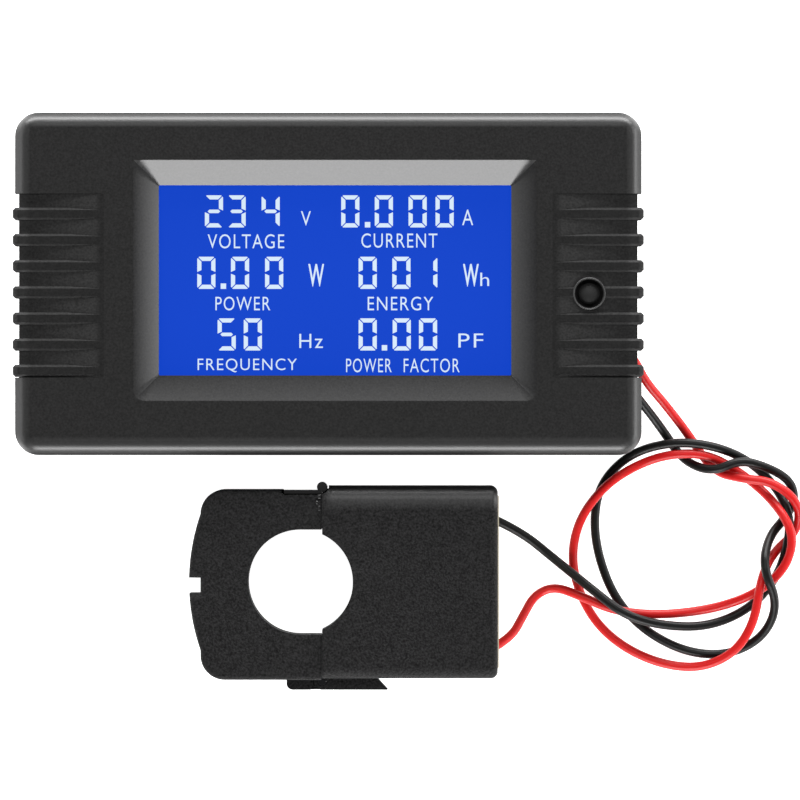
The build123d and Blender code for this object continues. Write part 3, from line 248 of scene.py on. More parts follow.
# Finishes of the plain pieces: name, finish, and the CAD nodes that it dresses
DISPLAY_STACK = (
    ("display_glass", Plastic((0.10, 0.16, 0.15), 0.08, 0.004, 0.03, 0.000001),
     ("display_front_glass", "display_rear_glass")),
    ("rear_film", Plastic((0.12, 0.13, 0.14), 0.25, 0.002, 0.05, 0.000001), ("display_rear_film",)),
    ("light_guide", Plastic((0.75, 0.79, 0.8), 0.2, 0.0012, 0.08, 0.000004), ("light_guide",)),
    ("white_plastic", Plastic((0.78, 0.77, 0.73), 0.42, 0.0004, 0.04),
     ("reflector_sheet", "backlight_leds", "display_holder")),
    ("tin", Metal((0.72, 0.72, 0.7), 0.28), ("display_pins",)),
)
ELECTRONICS = (
    ("board", Plastic((0.01, 0.1, 0.035), 0.32, 0.0009), ("main_board",)),
    ("chip_plastic", Plastic((0.014, 0.014, 0.015), 0.45, 0.0002),
     ("metering_chip", "microcontroller", "memory_chip", "rectifier_diodes", "switch_base",
      "divider_resistors")),
    ("terminal_plastic", Plastic((0.012, 0.16, 0.06), 0.36, 0.0005), ("terminal_block",)),
    ("capacitor_box", Plastic((0.55, 0.32, 0.03), 0.3, 0.0008), ("film_capacitor",)),
    ("capacitor_can", Plastic((0.02, 0.022, 0.05), 0.3, 0.0008), ("electrolytic_capacitor",)),
    ("varistor_lacquer", Plastic((0.02, 0.09, 0.32), 0.22, 0.0016), ("varistor",)),
    ("resistor_body", Plastic((0.3, 0.42, 0.5), 0.4, 0.0006), ("burden_resistors",)),
    ("plunger_plastic", Plastic((0.02, 0.02, 0.02), 0.4, 0.0003), ("switch_plunger",)),
    ("terminal_metal", Metal((0.68, 0.67, 0.64), 0.3),
     ("terminal_clamps", "terminal_screws", "terminal_pins", "lead_ferrules", "clock_crystal")),
)
CASE_PARTS = (
    ("button_plastic", Plastic((0.008, 0.008, 0.008), 0.55, 0.0001, 0.25, 0.000008, 0.22),
     ("button_cap",)),
    ("steel", Metal((0.56, 0.55, 0.53), 0.32), ("case_screws",)),
)
TRANSFORMER_PARTS = (
    ("potting", Plastic((0.5, 0.45, 0.33), 0.4, 0.0012, 0.1), ("ct_potting",)),
    ("ferrite", Plastic((0.03, 0.031, 0.034), 0.5, 0.0003, 0.3), ("ct_core_fixed", "ct_core_jaw")),
    ("bobbin_plastic", Plastic((0.6, 0.58, 0.5), 0.4, 0.0005, 0.06), ("ct_bobbin",)),
    ("spring_steel", Metal((0.5, 0.5, 0.5), 0.3), ("ct_core_spring",)),
    ("blackened_steel", Metal((0.03, 0.03, 0.032), 0.5), ("ct_hinge_pin",)),
    ("copper_winding", Metal((0.6, 0.22, 0.09), 0.35), ("ct_winding",)),
)
RIM_FINISH = Plastic((0.016, 0.016, 0.016), 0.5, 0.0003, 0.3, 0.00001)


class MeterCaseLook(PropertyGroup):
    """Finish of the meter's case."""

    colour: FloatVectorProperty(
        name="Case Colour", description="Colour of the case's plastic", subtype="COLOR",
        min=0.0, max=1.0, default=(0.011, 0.0109, 0.0109),
    )
    roughness: FloatProperty(
        name="Roughness", description="Roughness of the case's fine grain", subtype="FACTOR",
        min=0.0, max=1.0, default=0.66,
    )
    surround_roughness: FloatProperty(
        name="Surround Roughness", description="Roughness of the smoother slopes round the display",
        subtype="FACTOR", min=0.0, max=1.0, default=0.36,
    )
    grip_roughness: FloatProperty(
        name="Grip Roughness", description="Roughness of the matt ribbed grips", subtype="FACTOR",
        min=0.0, max=1.0, default=0.75,
    )
    # Painted light: the floors of the grips' grooves are painted paler than the case's face
    groove_painted_light: FloatProperty(
        name="Groove Tone", description="How much paler the floors of the grips' grooves are",
        min=0.0, max=3.0, default=1.6,
    )
    specular: FloatProperty(
        name="Specular", description="Strength of the case's dull sheen", subtype="FACTOR",
        min=0.0, max=1.0, default=0.1,
    )
    # Painted shade: the grips' ribs are painted darker than the case's face
    rib_painted_shade: FloatProperty(
        name="Rib Tone", description="Tone of the grips' ribs against the case's face",
        min=0.0, max=1.0, default=0.78,
    )
    grain: FloatProperty(
        name="Grain", description="Size of the case's moulded grain", unit="LENGTH",
        min=0.00001, max=0.002, default=0.0003,
    )
    rim_radius: FloatProperty(
        name="Rim Radius", description="Radius of the rim round the button's hole",
        unit="LENGTH", min=0.001, max=0.005, default=0.00222,
    )
    rim_width: FloatProperty(
        name="Rim Width", description="Width of the rim round the button's hole",
        unit="LENGTH", min=0.0001, max=0.001, default=0.00026,
    )


class MeterDisplayLook(PropertyGroup):
    """Colours and sizes of what the display shows."""

    glow: FloatVectorProperty(
        name="Backlight", description="Colour of the lit display", subtype="COLOR",
        min=0.0, max=1.0, default=(0.0022, 0.05, 0.555),
    )
    digits: FloatVectorProperty(
        name="Digits", description="Colour of the clear digits", subtype="COLOR",
        min=0.0, max=1.0, default=(0.69, 0.82, 0.93),
    )
    digit_width: FloatProperty(
        name="Digit Width", description="Width of one digit", unit="LENGTH",
        min=0.001, max=0.01, default=0.0026,
    )
    digit_height: FloatProperty(
        name="Digit Height", description="Height of one digit", unit="LENGTH",
        min=0.001, max=0.02, default=0.0046,
    )
    stroke: FloatProperty(
        name="Stroke", description="Width of a digit's segment", unit="LENGTH",
        min=0.0001, max=0.002, default=0.0006,
    )
    text_weight: FloatProperty(
        name="Text Weight", description="How much the letters are swollen or, below nought, thinned",
        min=-0.03, max=0.03, default=-0.004,
    )
    heavy_weight: FloatProperty(
        name="Heavy Weight", description="How much the letters of the power units are swollen",
        min=-0.03, max=0.03, default=0.014,
    )
    relief: FloatProperty(
        name="Relief", description="Thickness of the digits on the film", unit="LENGTH",
        min=0.00001, max=0.0003, default=0.00004,
    )


class MeterTransformerLook(PropertyGroup):
    """Finish of the current transformer."""

    colour: FloatVectorProperty(
        name="Shell Colour", description="Colour of the transformer's plastic", subtype="COLOR",
        min=0.0, max=1.0, default=(0.0102, 0.0101, 0.0103),
    )
    roughness: FloatProperty(
        name="Roughness", description="Roughness of the transformer's shell", subtype="FACTOR",
        min=0.0, max=1.0, default=0.55,
    )
    specular: FloatProperty(
        name="Specular", description="Strength of the shell's dull sheen", subtype="FACTOR",
        min=0.0, max=1.0, default=0.08,
    )
    band_roughness: FloatProperty(
        name="Band Roughness", description="Roughness of the polished band on the top edge",
        subtype="FACTOR", min=0.0, max=1.0, default=0.42,
    )
    grain: FloatProperty(
        name="Grain", description="Size of the transformer's pebbled grain", unit="LENGTH",
        min=0.00001, max=0.002, default=0.0003,
    )
    grain_depth: FloatProperty(
        name="Grain Depth", description="Depth of the transformer's pebbled grain",
        unit="LENGTH", min=0.0, max=0.001, default=0.0002,
    )


class MeterLeadLook(PropertyGroup):
    """Size, colours and sheen of the two leads."""

    diameter: FloatProperty(
        name="Diameter", description="Outer diameter of a lead", unit="LENGTH",
        min=0.0005, max=0.005, default=0.0013,
    )
    red: FloatVectorProperty(
        name="Red", description="Colour of the red insulation", subtype="COLOR",
        min=0.0, max=1.0, default=(0.47, 0.006, 0.006),
    )
    black: FloatVectorProperty(
        name="Black", description="Colour of the black insulation", subtype="COLOR",
        min=0.0, max=1.0, default=(0.004, 0.004, 0.004),
    )
    red_specular: FloatProperty(
        name="Red Specular", description="Strength of the red insulation's sheen",
        subtype="FACTOR", min=0.0, max=1.0, default=0.28,
    )
    black_specular: FloatProperty(
        name="Black Specular", description="Strength of the black insulation's sheen",
        subtype="FACTOR", min=0.0, max=1.0, default=0.2,
    )


class MeterStageLook(PropertyGroup):
    """Camera distance and light of the studio."""

    view_distance: FloatProperty(
        name="View Distance", description="Height of the camera over the case", unit="LENGTH",
        min=0.5, max=10.0, default=3.0,
    )
    view_width: FloatProperty(
        name="View Width", description="Width of the picture at the case's face", unit="LENGTH",
        min=0.05, max=1.0, default=0.1143,
    )
    surround: FloatProperty(
        name="Surround", description="Strength of the even light from all sides",
        min=0.0, max=10.0, default=0.25,
    )
    table_light: FloatProperty(
        name="Table Light", description="Strength of the light that the white table gives off",
        min=0.0, max=10.0, default=1.05,
    )
    front_light: FloatProperty(
        name="Front Light", description="Power of the soft box below the picture", unit="POWER",
        min=0.0, max=200.0, default=4.6,
    )
    back_light: FloatProperty(
        name="Back Light", description="Power of the low soft box above the picture", unit="POWER",
        min=0.0, max=200.0, default=11.5,
    )
    upper_light: FloatProperty(
        name="Upper Light", description="Power of the high soft box above the picture", unit="POWER",
        min=0.0, max=200.0, default=1.0,
    )
    right_light: FloatProperty(
        name="Right Light", description="Power of the low soft box at the right", unit="POWER",
        min=0.0, max=200.0, default=2.6,
    )
    left_light: FloatProperty(
        name="Left Light", description="Power of the low soft box at the left", unit="POWER",
        min=0.0, max=200.0, default=1.0,
    )


LOOKS = {
    "meter_case_look": MeterCaseLook,
    "meter_display_look": MeterDisplayLook,
    "meter_transformer_look": MeterTransformerLook,
    "meter_lead_look": MeterLeadLook,
    "meter_stage_look": MeterStageLook,
}


# Shader nodes and node groups

def add_node(tree, kind, column, row, **settings):
    """Add a node on a simple grid and set its properties."""
    node = tree.nodes.new(kind)
    node.location = (220 * column, -200 * row)
    for key, value in settings.items():
        setattr(node, key, value)
    return node


def feed(tree, node, values):
    """Give a node's inputs, by name or number, their values or the sockets that they follow."""
    for name, value in values.items():
        if isinstance(value, NodeSocket):
            tree.links.new(value, node.inputs[name])
        else:
            node.inputs[name].default_value = value


def calculate(tree, operation, column, row, *values, clamp=False):
    """A Math node on values, each a number or a socket."""
    node = add_node(tree, "ShaderNodeMath", column, row, operation=operation, use_clamp=clamp)
    feed(tree, node, dict(enumerate(values)))
    return node.outputs[0]


def new_group(name, inputs, *outputs):
    """A node group of floats with its inputs' defaults, and what it is given and gives back."""
    group = bpy.data.node_groups.new(name, "ShaderNodeTree")
    for socket, default in inputs.items():
        made = group.interface.new_socket(socket, in_out="INPUT", socket_type="NodeSocketFloat")
        made.default_value = default
    for socket in outputs:
        group.interface.new_socket(socket, in_out="OUTPUT", socket_type="NodeSocketFloat")
    start = add_node(group, "NodeGroupInput", 0, 0)
    end = add_node(group, "NodeGroupOutput", 6, 0)
    return group, start.outputs, end


def object_noise(group, detail, size):
    """Noise on the object's own coordinates, whose bumps are as large as a socket says."""
    place = add_node(group, "ShaderNodeTexCoord", 1, 1)
    scale = calculate(group, "DIVIDE", 1, 0, 1.0, size)
    noise = add_node(group, "ShaderNodeTexNoise", 2, 0)
    feed(group, noise, {"Vector": place.outputs["Object"], "Scale": scale, "Detail": detail})
    return noise.outputs["Fac"]


def object_axes(group):
    """The object's own coordinates, axis by axis."""
    place = add_node(group, "ShaderNodeTexCoord", 1, 1)
    axes = add_node(group, "ShaderNodeSeparateXYZ", 2, 1)
    feed(group, axes, {0: place.outputs["Object"]})
    return axes.outputs


def map_range(group, column, value, **ends):
    """Stretch a value from one range to another, 0..1 where no end is given."""
    node = add_node(group, "ShaderNodeMapRange", column, 0)
    named = {name.replace("_", " ").title(): end for name, end in ends.items()}
    feed(group, node, {"Value": value, **named})
    return node.outputs[0]


def moulded_grain():
    """Fine pitted grain of a moulded surface: its height, and the shade that it gives the colour."""
    group, given, end = new_group("Moulded Grain", {"Size": 0.0003, "Contrast": 0.3}, "Height", "Shade")
    height = object_noise(group, 3.0, given["Size"])
    less = calculate(group, "SUBTRACT", 3, 1, 1.0, given["Contrast"])
    more = calculate(group, "ADD", 3, 2, 1.0, given["Contrast"])
    feed(group, end, {"Height": height, "Shade": map_range(group, 4, height, to_min=less, to_max=more)})
    return group


def soft_mottle():
    """Slow, cloudy change over a surface, between two values."""
    group, given, end = new_group("Soft Mottle", {"Size": 0.01, "Low": 0.9, "High": 1.1}, "Value")
    noise = object_noise(group, 1.0, given["Size"])
    feed(group, end, {"Value": map_range(group, 4, noise, to_min=given["Low"], to_max=given["High"])})
    return group


def height_mask():
    """One below a height, nought above it, with a soft step between them."""
    group, given, end = new_group("Height Mask", {"Height": 0.01, "Softness": 0.001}, "Mask")
    under = calculate(group, "SUBTRACT", 2, 0, given["Height"], given["Softness"])
    step = map_range(
        group, 4, object_axes(group)["Z"], from_min=under, from_max=given["Height"],
        to_min=1.0, to_max=0.0,
    )
    feed(group, end, {"Mask": step})
    return group


def face_zone():
    """One inside a rectangle of the XY plane and nought outside it, with soft edges."""
    edges = {"Left": -0.01, "Bottom": -0.01, "Right": 0.01, "Top": 0.01}
    group, given, end = new_group("Face Zone", {**edges, "Softness": 0.0001}, "Mask")
    axes = object_axes(group)
    sides = (
        (axes["X"], given["Left"]),
        (given["Right"], axes["X"]),
        (axes["Y"], given["Bottom"]),
        (given["Top"], axes["Y"]),
    )
    mask = 1.0
    for row, (high, low) in enumerate(sides):
        inside = calculate(group, "SUBTRACT", 3, row, high, low)
        step = calculate(group, "DIVIDE", 4, row, inside, given["Softness"], clamp=True)
        mask = calculate(group, "MULTIPLY", 5, row, mask, step)
    feed(group, end, {"Mask": mask})
    return group


# Node groups by the function that builds them
GROUPS = {}


def use_group(tree, build, column, row, **values):
    """Place a shared node group in a material, built the first time that one asks for it."""
    if build not in GROUPS:
        GROUPS[build] = build()
    node = add_node(tree, "ShaderNodeGroup", column, row, node_tree=GROUPS[build])
    feed(tree, node, values)
    return node.outputs


def mottle(tree, column, row, size, middle, spread):
    """A value that changes slowly over the surface, round its middle."""
    low, high = middle - spread, middle + spread
    return use_group(tree, soft_mottle, column, row, Size=size, Low=low, High=high)["Value"]


def zone_mask(tree, zone, column, row, softness=0.1 * MM):
    """The mask of a rectangle (left, bottom, right, top) of the face."""
    edges = dict(zip(("Left", "Bottom", "Right", "Top"), zone))
    return use_group(tree, face_zone, column, row, Softness=softness, **edges)["Mask"]


def deep_mask(tree, depth, softness, column, row):
    """The mask of what lies deeper than a depth under the case's face."""
    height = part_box("front_shell")[1].z - depth
    return use_group(tree, height_mask, column, row, Height=height, Softness=softness)["Mask"]


def invert(tree, mask, column, row):
    """One where a mask is nought, and nought where it is one."""
    return calculate(tree, "SUBTRACT", column, row, 1.0, mask)


# Materials

def new_material(name):
    """A material with its Principled shader."""
    material = bpy.data.materials.new(name)
    material.use_nodes = True
    return material, material.node_tree, material.node_tree.nodes["Principled BSDF"]


def shaded_colour(tree, colour, factor):
    """A colour multiplied by a value that changes over the surface."""
    mix = add_node(tree, "ShaderNodeVectorMath", -2, 0, operation="SCALE")
    feed(tree, mix, {0: colour, "Scale": factor})
    return mix.outputs[0]


def bumped_normal(tree, height, distance):
    """The normal of a surface raised by a height."""
    bump = add_node(tree, "ShaderNodeBump", -1, 3)
    feed(tree, bump, {"Strength": 1.0, "Distance": distance, "Height": height})
    return bump.outputs[0]


def moulded_surface(name, finish, drift_size, gloss_size):
    """A moulded material whose tone and gloss drift slowly, and the drift of its tone."""
    material, tree, shader = new_material(name)
    pits = use_group(tree, moulded_grain, -5, 0, Size=finish.grain, Contrast=finish.contrast)
    drift = mottle(tree, -5, 1, drift_size, 1.0, TONE_DRIFT)
    shade = calculate(tree, "MULTIPLY", -3, 0, pits["Shade"], drift)
    feed(tree, shader, {
        "Base Color": shaded_colour(tree, finish.colour, shade),
        "Roughness": mottle(tree, -5, 2, gloss_size, finish.roughness, GLOSS_DRIFT),
        "Normal": bumped_normal(tree, pits["Height"], finish.depth),
        "Specular IOR Level": finish.specular,
    })
    return material, drift


def moulded_plastic(name, finish):
    """Moulded plastic whose slow changes are as wide as some of its grains."""
    drift_size, gloss_size = DRIFT_GRAINS * finish.grain, GLOSS_GRAINS * finish.grain
    return moulded_surface(name, finish, drift_size, gloss_size)[0]


def brushed_metal(name, finish):
    """Metal with faint scratches in its gloss."""
    material, tree, shader = new_material(name)
    marks = use_group(tree, moulded_grain, -4, 0, Size=SCRATCH_SIZE, Contrast=SCRATCH_CONTRAST)
    feed(tree, shader, {
        "Base Color": shaded_colour(tree, finish.colour, marks["Shade"]),
        "Roughness": mottle(tree, -4, 1, METAL_GLOSS_SIZE, finish.roughness, METAL_GLOSS_DRIFT),
        "Normal": bumped_normal(tree, marks["Height"], SCRATCH_DEPTH),
        "Metallic": 1.0,
    })
    return material


def dress(material, *nodes):
    """Give CAD nodes a material."""
    for name in nodes:
        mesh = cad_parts[name].data
        mesh.materials.clear()
        mesh.materials.append(material)


def dress_all(rows):
    """Give CAD nodes the finishes of a table."""
    for name, finish, nodes in rows:
        build = brushed_metal if isinstance(finish, Metal) else moulded_plastic
        dress(build(name, finish), *nodes)


# Pieces

def deselect():
    """Leave nothing selected."""
    bpy.ops.object.select_all(action="DESELECT")


def choose(*objects):
    """Select these objects alone and make the first one active."""
    deselect()
    for item in objects:
        item.select_set(True)
    bpy.context.view_layer.objects.active = objects[0]


def settle(piece):
    """Put a piece's place into its mesh."""
    choose(piece)
    bpy.ops.object.transform_apply(location=True, rotation=True, scale=True)


def apply_modifier(piece, kind, **settings):
    """Change a piece's mesh by one modifier."""
    choose(piece)
    modifier = piece.modifiers.new(kind, kind)
    for key, value in settings.items():
        setattr(modifier, key, value)
    bpy.ops.object.modifier_apply(modifier=modifier.name)


def join_pieces(pieces):
    """Join pieces into one."""
    choose(*pieces)
    bpy.ops.object.join()
    return pieces[0]


def finish_piece(piece, name, material, body):
    """Name a piece, give it its material and let it ride on its body."""
    piece.name = name
    piece.data.name = name
    piece.data.materials.clear()
    piece.data.materials.append(material)
    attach(piece, body)
    return piece


# Leads

def insulation(name, colour, specular):
    """Soft glossy insulation with a slightly uneven skin."""
    finish = Plastic(
        colour, roughness=0.38, grain=0.0006, contrast=0.06, depth=0.00001, specular=specular
    )
    return moulded_plastic(name, finish)


def lay_lead(name, route, material, diameter):
    """One lead as a smooth tube along its route."""
    curve = bpy.data.curves.new(name, "CURVE")
    curve.dimensions = "3D"
    spline = curve.splines.new("NURBS")
    spline.points.add(len(route) - 1)
    for point, place in zip(spline.points, route):
        point.co = (*place, 1.0)
    spline.order_u = 3
    spline.use_endpoint_u = True
    spline.resolution_u = 12
    curve.bevel_depth = diameter / 2
    curve.bevel_resolution = 6
    curve.use_fill_caps = True
    lead = bpy.data.objects.new(name, curve)
    bpy.context.scene.collection.objects.link(lead)
    return finish_piece(lead, name, material, METER)


class MeterLayLeads(Operator):
    """Lay the two leads of the current transformer in their loose turns"""

    bl_idname = "meter.lay_leads"
    bl_label = "Lay Leads"

    def execute(self, context):
        look = context.scene.meter_lead_look
        leads = (
            ("black", BLACK_ROUTE, look.black, look.black_specular, BLACK_LENGTH),
            ("red", RED_ROUTE, look.red, look.red_specular, RED_LENGTH),
        )
        for word, route, colour, specular, length in leads:
            name = f"{word}_insulation"
            skin = insulation(name, colour, specular)
            lead = lay_lead(f"lead_{word}", route, skin, look.diameter)
            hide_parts(f"ct_lead_{word}")
        return {"FINISHED"}


# Case

def surround_gloss(tree, column, row):
    """Gloss of the slopes round the display: full above it, rising inwards at its sides."""
    left, bottom, right, top = SURROUND_ZONE
    whole = zone_mask(tree, SURROUND_ZONE, column, row)
    upper = zone_mask(tree, (left, 0.0, right, top), column, row + 1)
    across = zone_mask(tree, (left, -FAR, right, FAR), column, row + 2, SLOPE_WIDTH)
    along = zone_mask(tree, (-FAR, bottom, FAR, top), column, row + 3, SLOPE_WIDTH)
    is_side = calculate(tree, "LESS_THAN", column + 1, row + 2, across, along)
    is_level = invert(tree, is_side, column + 1, row + 3)
    below = calculate(
        tree, "MULTIPLY_ADD", column + 1, row + 4, along, -LOWER_SLOPE_GLOSS, LOWER_SLOPE_GLOSS
    )
    level = calculate(tree, "MAXIMUM", column + 2, row + 4, below, upper)
    sides = calculate(tree, "MULTIPLY", column + 2, row + 2, is_side, across)
    ends = calculate(tree, "MULTIPLY", column + 3, row + 3, is_level, level)
    slopes = calculate(tree, "MAXIMUM", column + 4, row + 2, sides, ends)
    return calculate(tree, "MULTIPLY", column + 4, row, whole, slopes)


def grip_mask(tree, column, row):
    """The mask of the grips at both ends of the case."""
    strip = zone_mask(tree, GRIP_ZONE, column, row)
    outside = invert(tree, zone_mask(tree, BETWEEN_GRIPS, column, row + 1), column + 1, row + 1)
    return calculate(tree, "MULTIPLY", column + 2, row, strip, outside)


def rim_gloss(tree, grip, column, row):
    """Gloss of the rounded rim of the case's face, weaker at the grips."""
    rounded = invert(tree, zone_mask(tree, FLAT_ZONE, column, row, RIM_FADE), column + 1, row)
    inside = zone_mask(tree, OUTLINE_ZONE, column, row + 1, OUTLINE_FADE)
    deep = deep_mask(tree, RIM_DEPTH, OUTLINE_FADE, column, row + 2)
    near_face = invert(tree, deep, column + 1, row + 2)
    ring = calculate(tree, "MULTIPLY", column + 2, row, rounded, inside)
    rim = calculate(tree, "MULTIPLY", column + 3, row + 1, ring, near_face)
    bare = calculate(tree, "MULTIPLY_ADD", column + 3, row - 1, grip, -GRIP_GLOSS_LOSS, 1.0)
    return calculate(tree, "MULTIPLY", column + 4, row, rim, bare)


def case_plastic(look):
    """Fine-grained black plastic, smoother on the display's surround and matt on the grips, whose
    groove floors carry painted light and whose ribs carry painted shade.
    """
    material, tree, shader = new_material("case_plastic")
    pits = use_group(tree, moulded_grain, -8, 0, Size=look.grain, Contrast=CASE_CONTRAST)
    drift = mottle(tree, -8, 1, CASE_DRIFT_SIZE, 1.0, CASE_DRIFT)
    gloss = mottle(tree, -8, 2, GLOSS_SIZE, look.roughness, CASE_GLOSS_DRIFT)
    slopes = surround_gloss(tree, -13, 3)
    grip = grip_mask(tree, -8, 4)
    # Painted light and shade on the grips: the groove floors are painted paler and the ribs darker than
    # the case's face
    floor = deep_mask(tree, GROOVE_DEPTH, GROOVE_FADE, -8, 6)
    grooves = calculate(
        tree, "MULTIPLY_ADD", -6, 6, floor, look.groove_painted_light - look.rib_painted_shade, look.rib_painted_shade - 1.0
    )
    tone = calculate(tree, "MULTIPLY_ADD", -5, 5, grip, grooves, 1.0)
    both = calculate(tree, "MULTIPLY", -5, 0, pits["Shade"], drift)
    shade = calculate(tree, "MULTIPLY", -4, 0, both, tone)
    smoother = calculate(
        tree, "MULTIPLY_ADD", -5, 2, slopes, look.surround_roughness - look.roughness, gloss
    )
    rough = calculate(tree, "MULTIPLY_ADD", -4, 2, grip, look.grip_roughness - look.roughness, smoother)
    calm = calculate(tree, "MULTIPLY_ADD", -4, 4, slopes, -SLOPE_GRAIN_LOSS, 1.0)
    height = calculate(tree, "MULTIPLY", -3, 4, pits["Height"], calm)
    edges = rim_gloss(tree, grip, -8, 12)
    feed(tree, shader, {
        "Base Color": shaded_colour(tree, look.colour, shade),
        "Roughness": rough,
        "Normal": bumped_normal(tree, height, CASE_GRAIN_DEPTH),
        "Coat Weight": calculate(tree, "MAXIMUM", -2, 8, slopes, edges),
        "Coat Roughness": look.surround_roughness,
        "Specular IOR Level": look.specular,
    })
    return material


def button_ring(look):
    """The thin rounded rim that stands round the button's hole."""
    low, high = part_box("button_cap")
    centre = ((low.x + high.x) / 2, (low.y + high.y) / 2)
    face_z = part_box("front_shell")[1].z
    deselect()
    bpy.ops.mesh.primitive_circle_add(
        vertices=RIM_SIDES, radius=look.rim_width / 2, fill_type="NOTHING",
        rotation=(radians(90), 0, 0),
        location=(centre[0] + look.rim_radius, centre[1], face_z - look.rim_width / 5),
    )
    ring = bpy.context.object
    settle(ring)
    bpy.ops.object.mode_set(mode="EDIT")
    bpy.ops.mesh.select_all(action="SELECT")
    bpy.ops.mesh.spin(steps=RIM_STEPS, angle=radians(360), center=(*centre, 0), axis=(0, 0, 1))
    bpy.ops.mesh.select_all(action="SELECT")
    bpy.ops.mesh.remove_doubles(threshold=MM / 1000)
    bpy.ops.mesh.normals_make_consistent(inside=False)
    bpy.ops.object.mode_set(mode="OBJECT")
    bpy.ops.object.shade_smooth()
    return ring


class MeterDressCase(Operator):
    """Give the case, its screws and the button their plastics and metals"""

    bl_idname = "meter.dress_case"
    bl_label = "Dress Case"

    def execute(self, context):
        look = context.scene.meter_case_look
        dress(case_plastic(look), "front_shell")
        rear = Plastic(
            look.colour, look.roughness, look.grain, CASE_CONTRAST, CASE_GRAIN_DEPTH, look.specular
        )
        dress(moulded_plastic("rear_case_plastic", rear), "rear_shell")
        dress_all(CASE_PARTS)
        rim = moulded_plastic("rim_plastic", RIM_FINISH)
        finish_piece(button_ring(look), "button_rim", rim, METER)
        return {"FINISHED"}


# Display

def display_glow(name, colour, vary, specular):
    """Evenly lit face of the display, a little brighter in places."""
    material, tree, shader = new_material(name)
    drift = mottle(tree, -4, 0, GLOW_DRIFT_SIZE, 1.0, vary)
    pits = use_group(tree, moulded_grain, -4, 1, Size=GLOW_GRAIN, Contrast=vary)
    shade = calculate(tree, "MULTIPLY", -3, 0, drift, pits["Shade"])
    feed(tree, shader, {
        "Emission Color": shaded_colour(tree, colour, shade),
        "Emission Strength": 1.0,
        "Base Color": UNLIT_COLOUR,
        "Roughness": UNLIT_ROUGHNESS,
        "Specular IOR Level": specular,
    })
    return material


def segment_bar(width, height, cuts):
    """A flat bar with its low left corner at the origin, with corners cut off at points and normals."""
    deselect()
    bpy.ops.mesh.primitive_plane_add(size=1.0, location=(width / 2, height / 2, 0))
    bar = bpy.context.object
    bar.scale = (width, height, 1.0)
    settle(bar)
    bpy.ops.object.mode_set(mode="EDIT")
    for point, normal in cuts:
        bpy.ops.mesh.select_all(action="SELECT")
        bpy.ops.mesh.bisect(plane_co=(*point, 0), plane_no=(*normal, 0), clear_outer=True)
    bpy.ops.object.mode_set(mode="OBJECT")
    return bar


def make_segments(width, height, stroke):
    """The seven segments of a digit, each in its place over the digit's low left corner."""
    gap = 0.17 * stroke
    waist = 0.2 * stroke
    corner = 0.3 * stroke
    thin = 0.42 * stroke
    slope = 0.45
    middle = height / 2
    long_bar = width - 2 * gap
    bar_g = width - stroke - 2 * gap
    tall = middle - gap - waist
    right, upper = width - stroke, middle + waist
    shapes = {
        "a": (gap, height - stroke, long_bar, stroke, [
            ((0, stroke), (-1, -1)), ((long_bar, stroke), (1, -1)),
            ((corner, stroke), (-1, 1)), ((long_bar - corner, stroke), (1, 1)),
        ]),
        "d": (gap, 0, long_bar, stroke, [
            ((0, 0), (-1, 1)), ((long_bar, 0), (1, 1)),
            ((corner, 0), (-1, -1)), ((long_bar - corner, 0), (1, -1)),
        ]),
        "g": (stroke / 2 + gap, middle - thin, bar_g, 2 * thin, [
            ((0, thin), (-1, 1)), ((0, thin), (-1, -1)),
            ((bar_g, thin), (1, 1)), ((bar_g, thin), (1, -1)),
        ]),
        "f": (0, upper, stroke, tall, [
            ((0, tall), (1, 1)), ((0, tall - corner), (-1, 1)), ((0, 0), (slope, -1)),
        ]),
        "b": (right, upper, stroke, tall, [
            ((stroke, tall), (-1, 1)), ((stroke, tall - corner), (1, 1)), ((stroke, 0), (-slope, -1)),
        ]),
        "e": (0, gap, stroke, tall, [
            ((0, 0), (1, -1)), ((0, corner), (-1, -1)), ((0, tall), (slope, 1)),
        ]),
        "c": (right, gap, stroke, tall, [
            ((stroke, 0), (-1, -1)), ((stroke, corner), (1, -1)), ((stroke, tall), (-slope, 1)),
        ]),
    }
    segments = {}
    for name, (x, y, bar_width, bar_height, cuts) in shapes.items():
        segments[name] = segment_bar(bar_width, bar_height, cuts)
        segments[name].data.transform(Matrix.Translation((x, y, 0)))
    return segments


def copy_to(source, place):
    """A copy of a piece with its own mesh, moved by a place."""
    twin = source.copy()
    twin.data = source.data.copy()
    twin.data.transform(Matrix.Translation(place))
    bpy.context.scene.collection.objects.link(twin)
    return twin


def word_in_box(text, box, face_z, relief, weight):
    """A printed word stretched to fill a box on the film."""
    deselect()
    bpy.ops.object.text_add(location=(0, 0, 0))
    letters = bpy.context.object.data
    letters.body = text
    letters.extrude = 0.5
    letters.offset = weight
    letters.space_character = LETTER_SPACING
    letters.resolution_u = LETTER_STEPS
    bpy.ops.object.convert(target="MESH")
    word = bpy.context.object
    points = [vertex.co for vertex in word.data.vertices]
    low = Vector(min(point[axis] for point in points) for axis in range(3))
    high = Vector(max(point[axis] for point in points) for axis in range(3))
    left, bottom, right, top = (edge * MM for edge in box)
    sizes = ((right - left) / (high.x - low.x), (top - bottom) / (high.y - low.y), relief)
    word.data.transform(Matrix.Translation(-low))
    word.data.transform(Matrix.Diagonal((*sizes, 1.0)))
    word.data.transform(Matrix.Translation((left, bottom, face_z)))
    return word


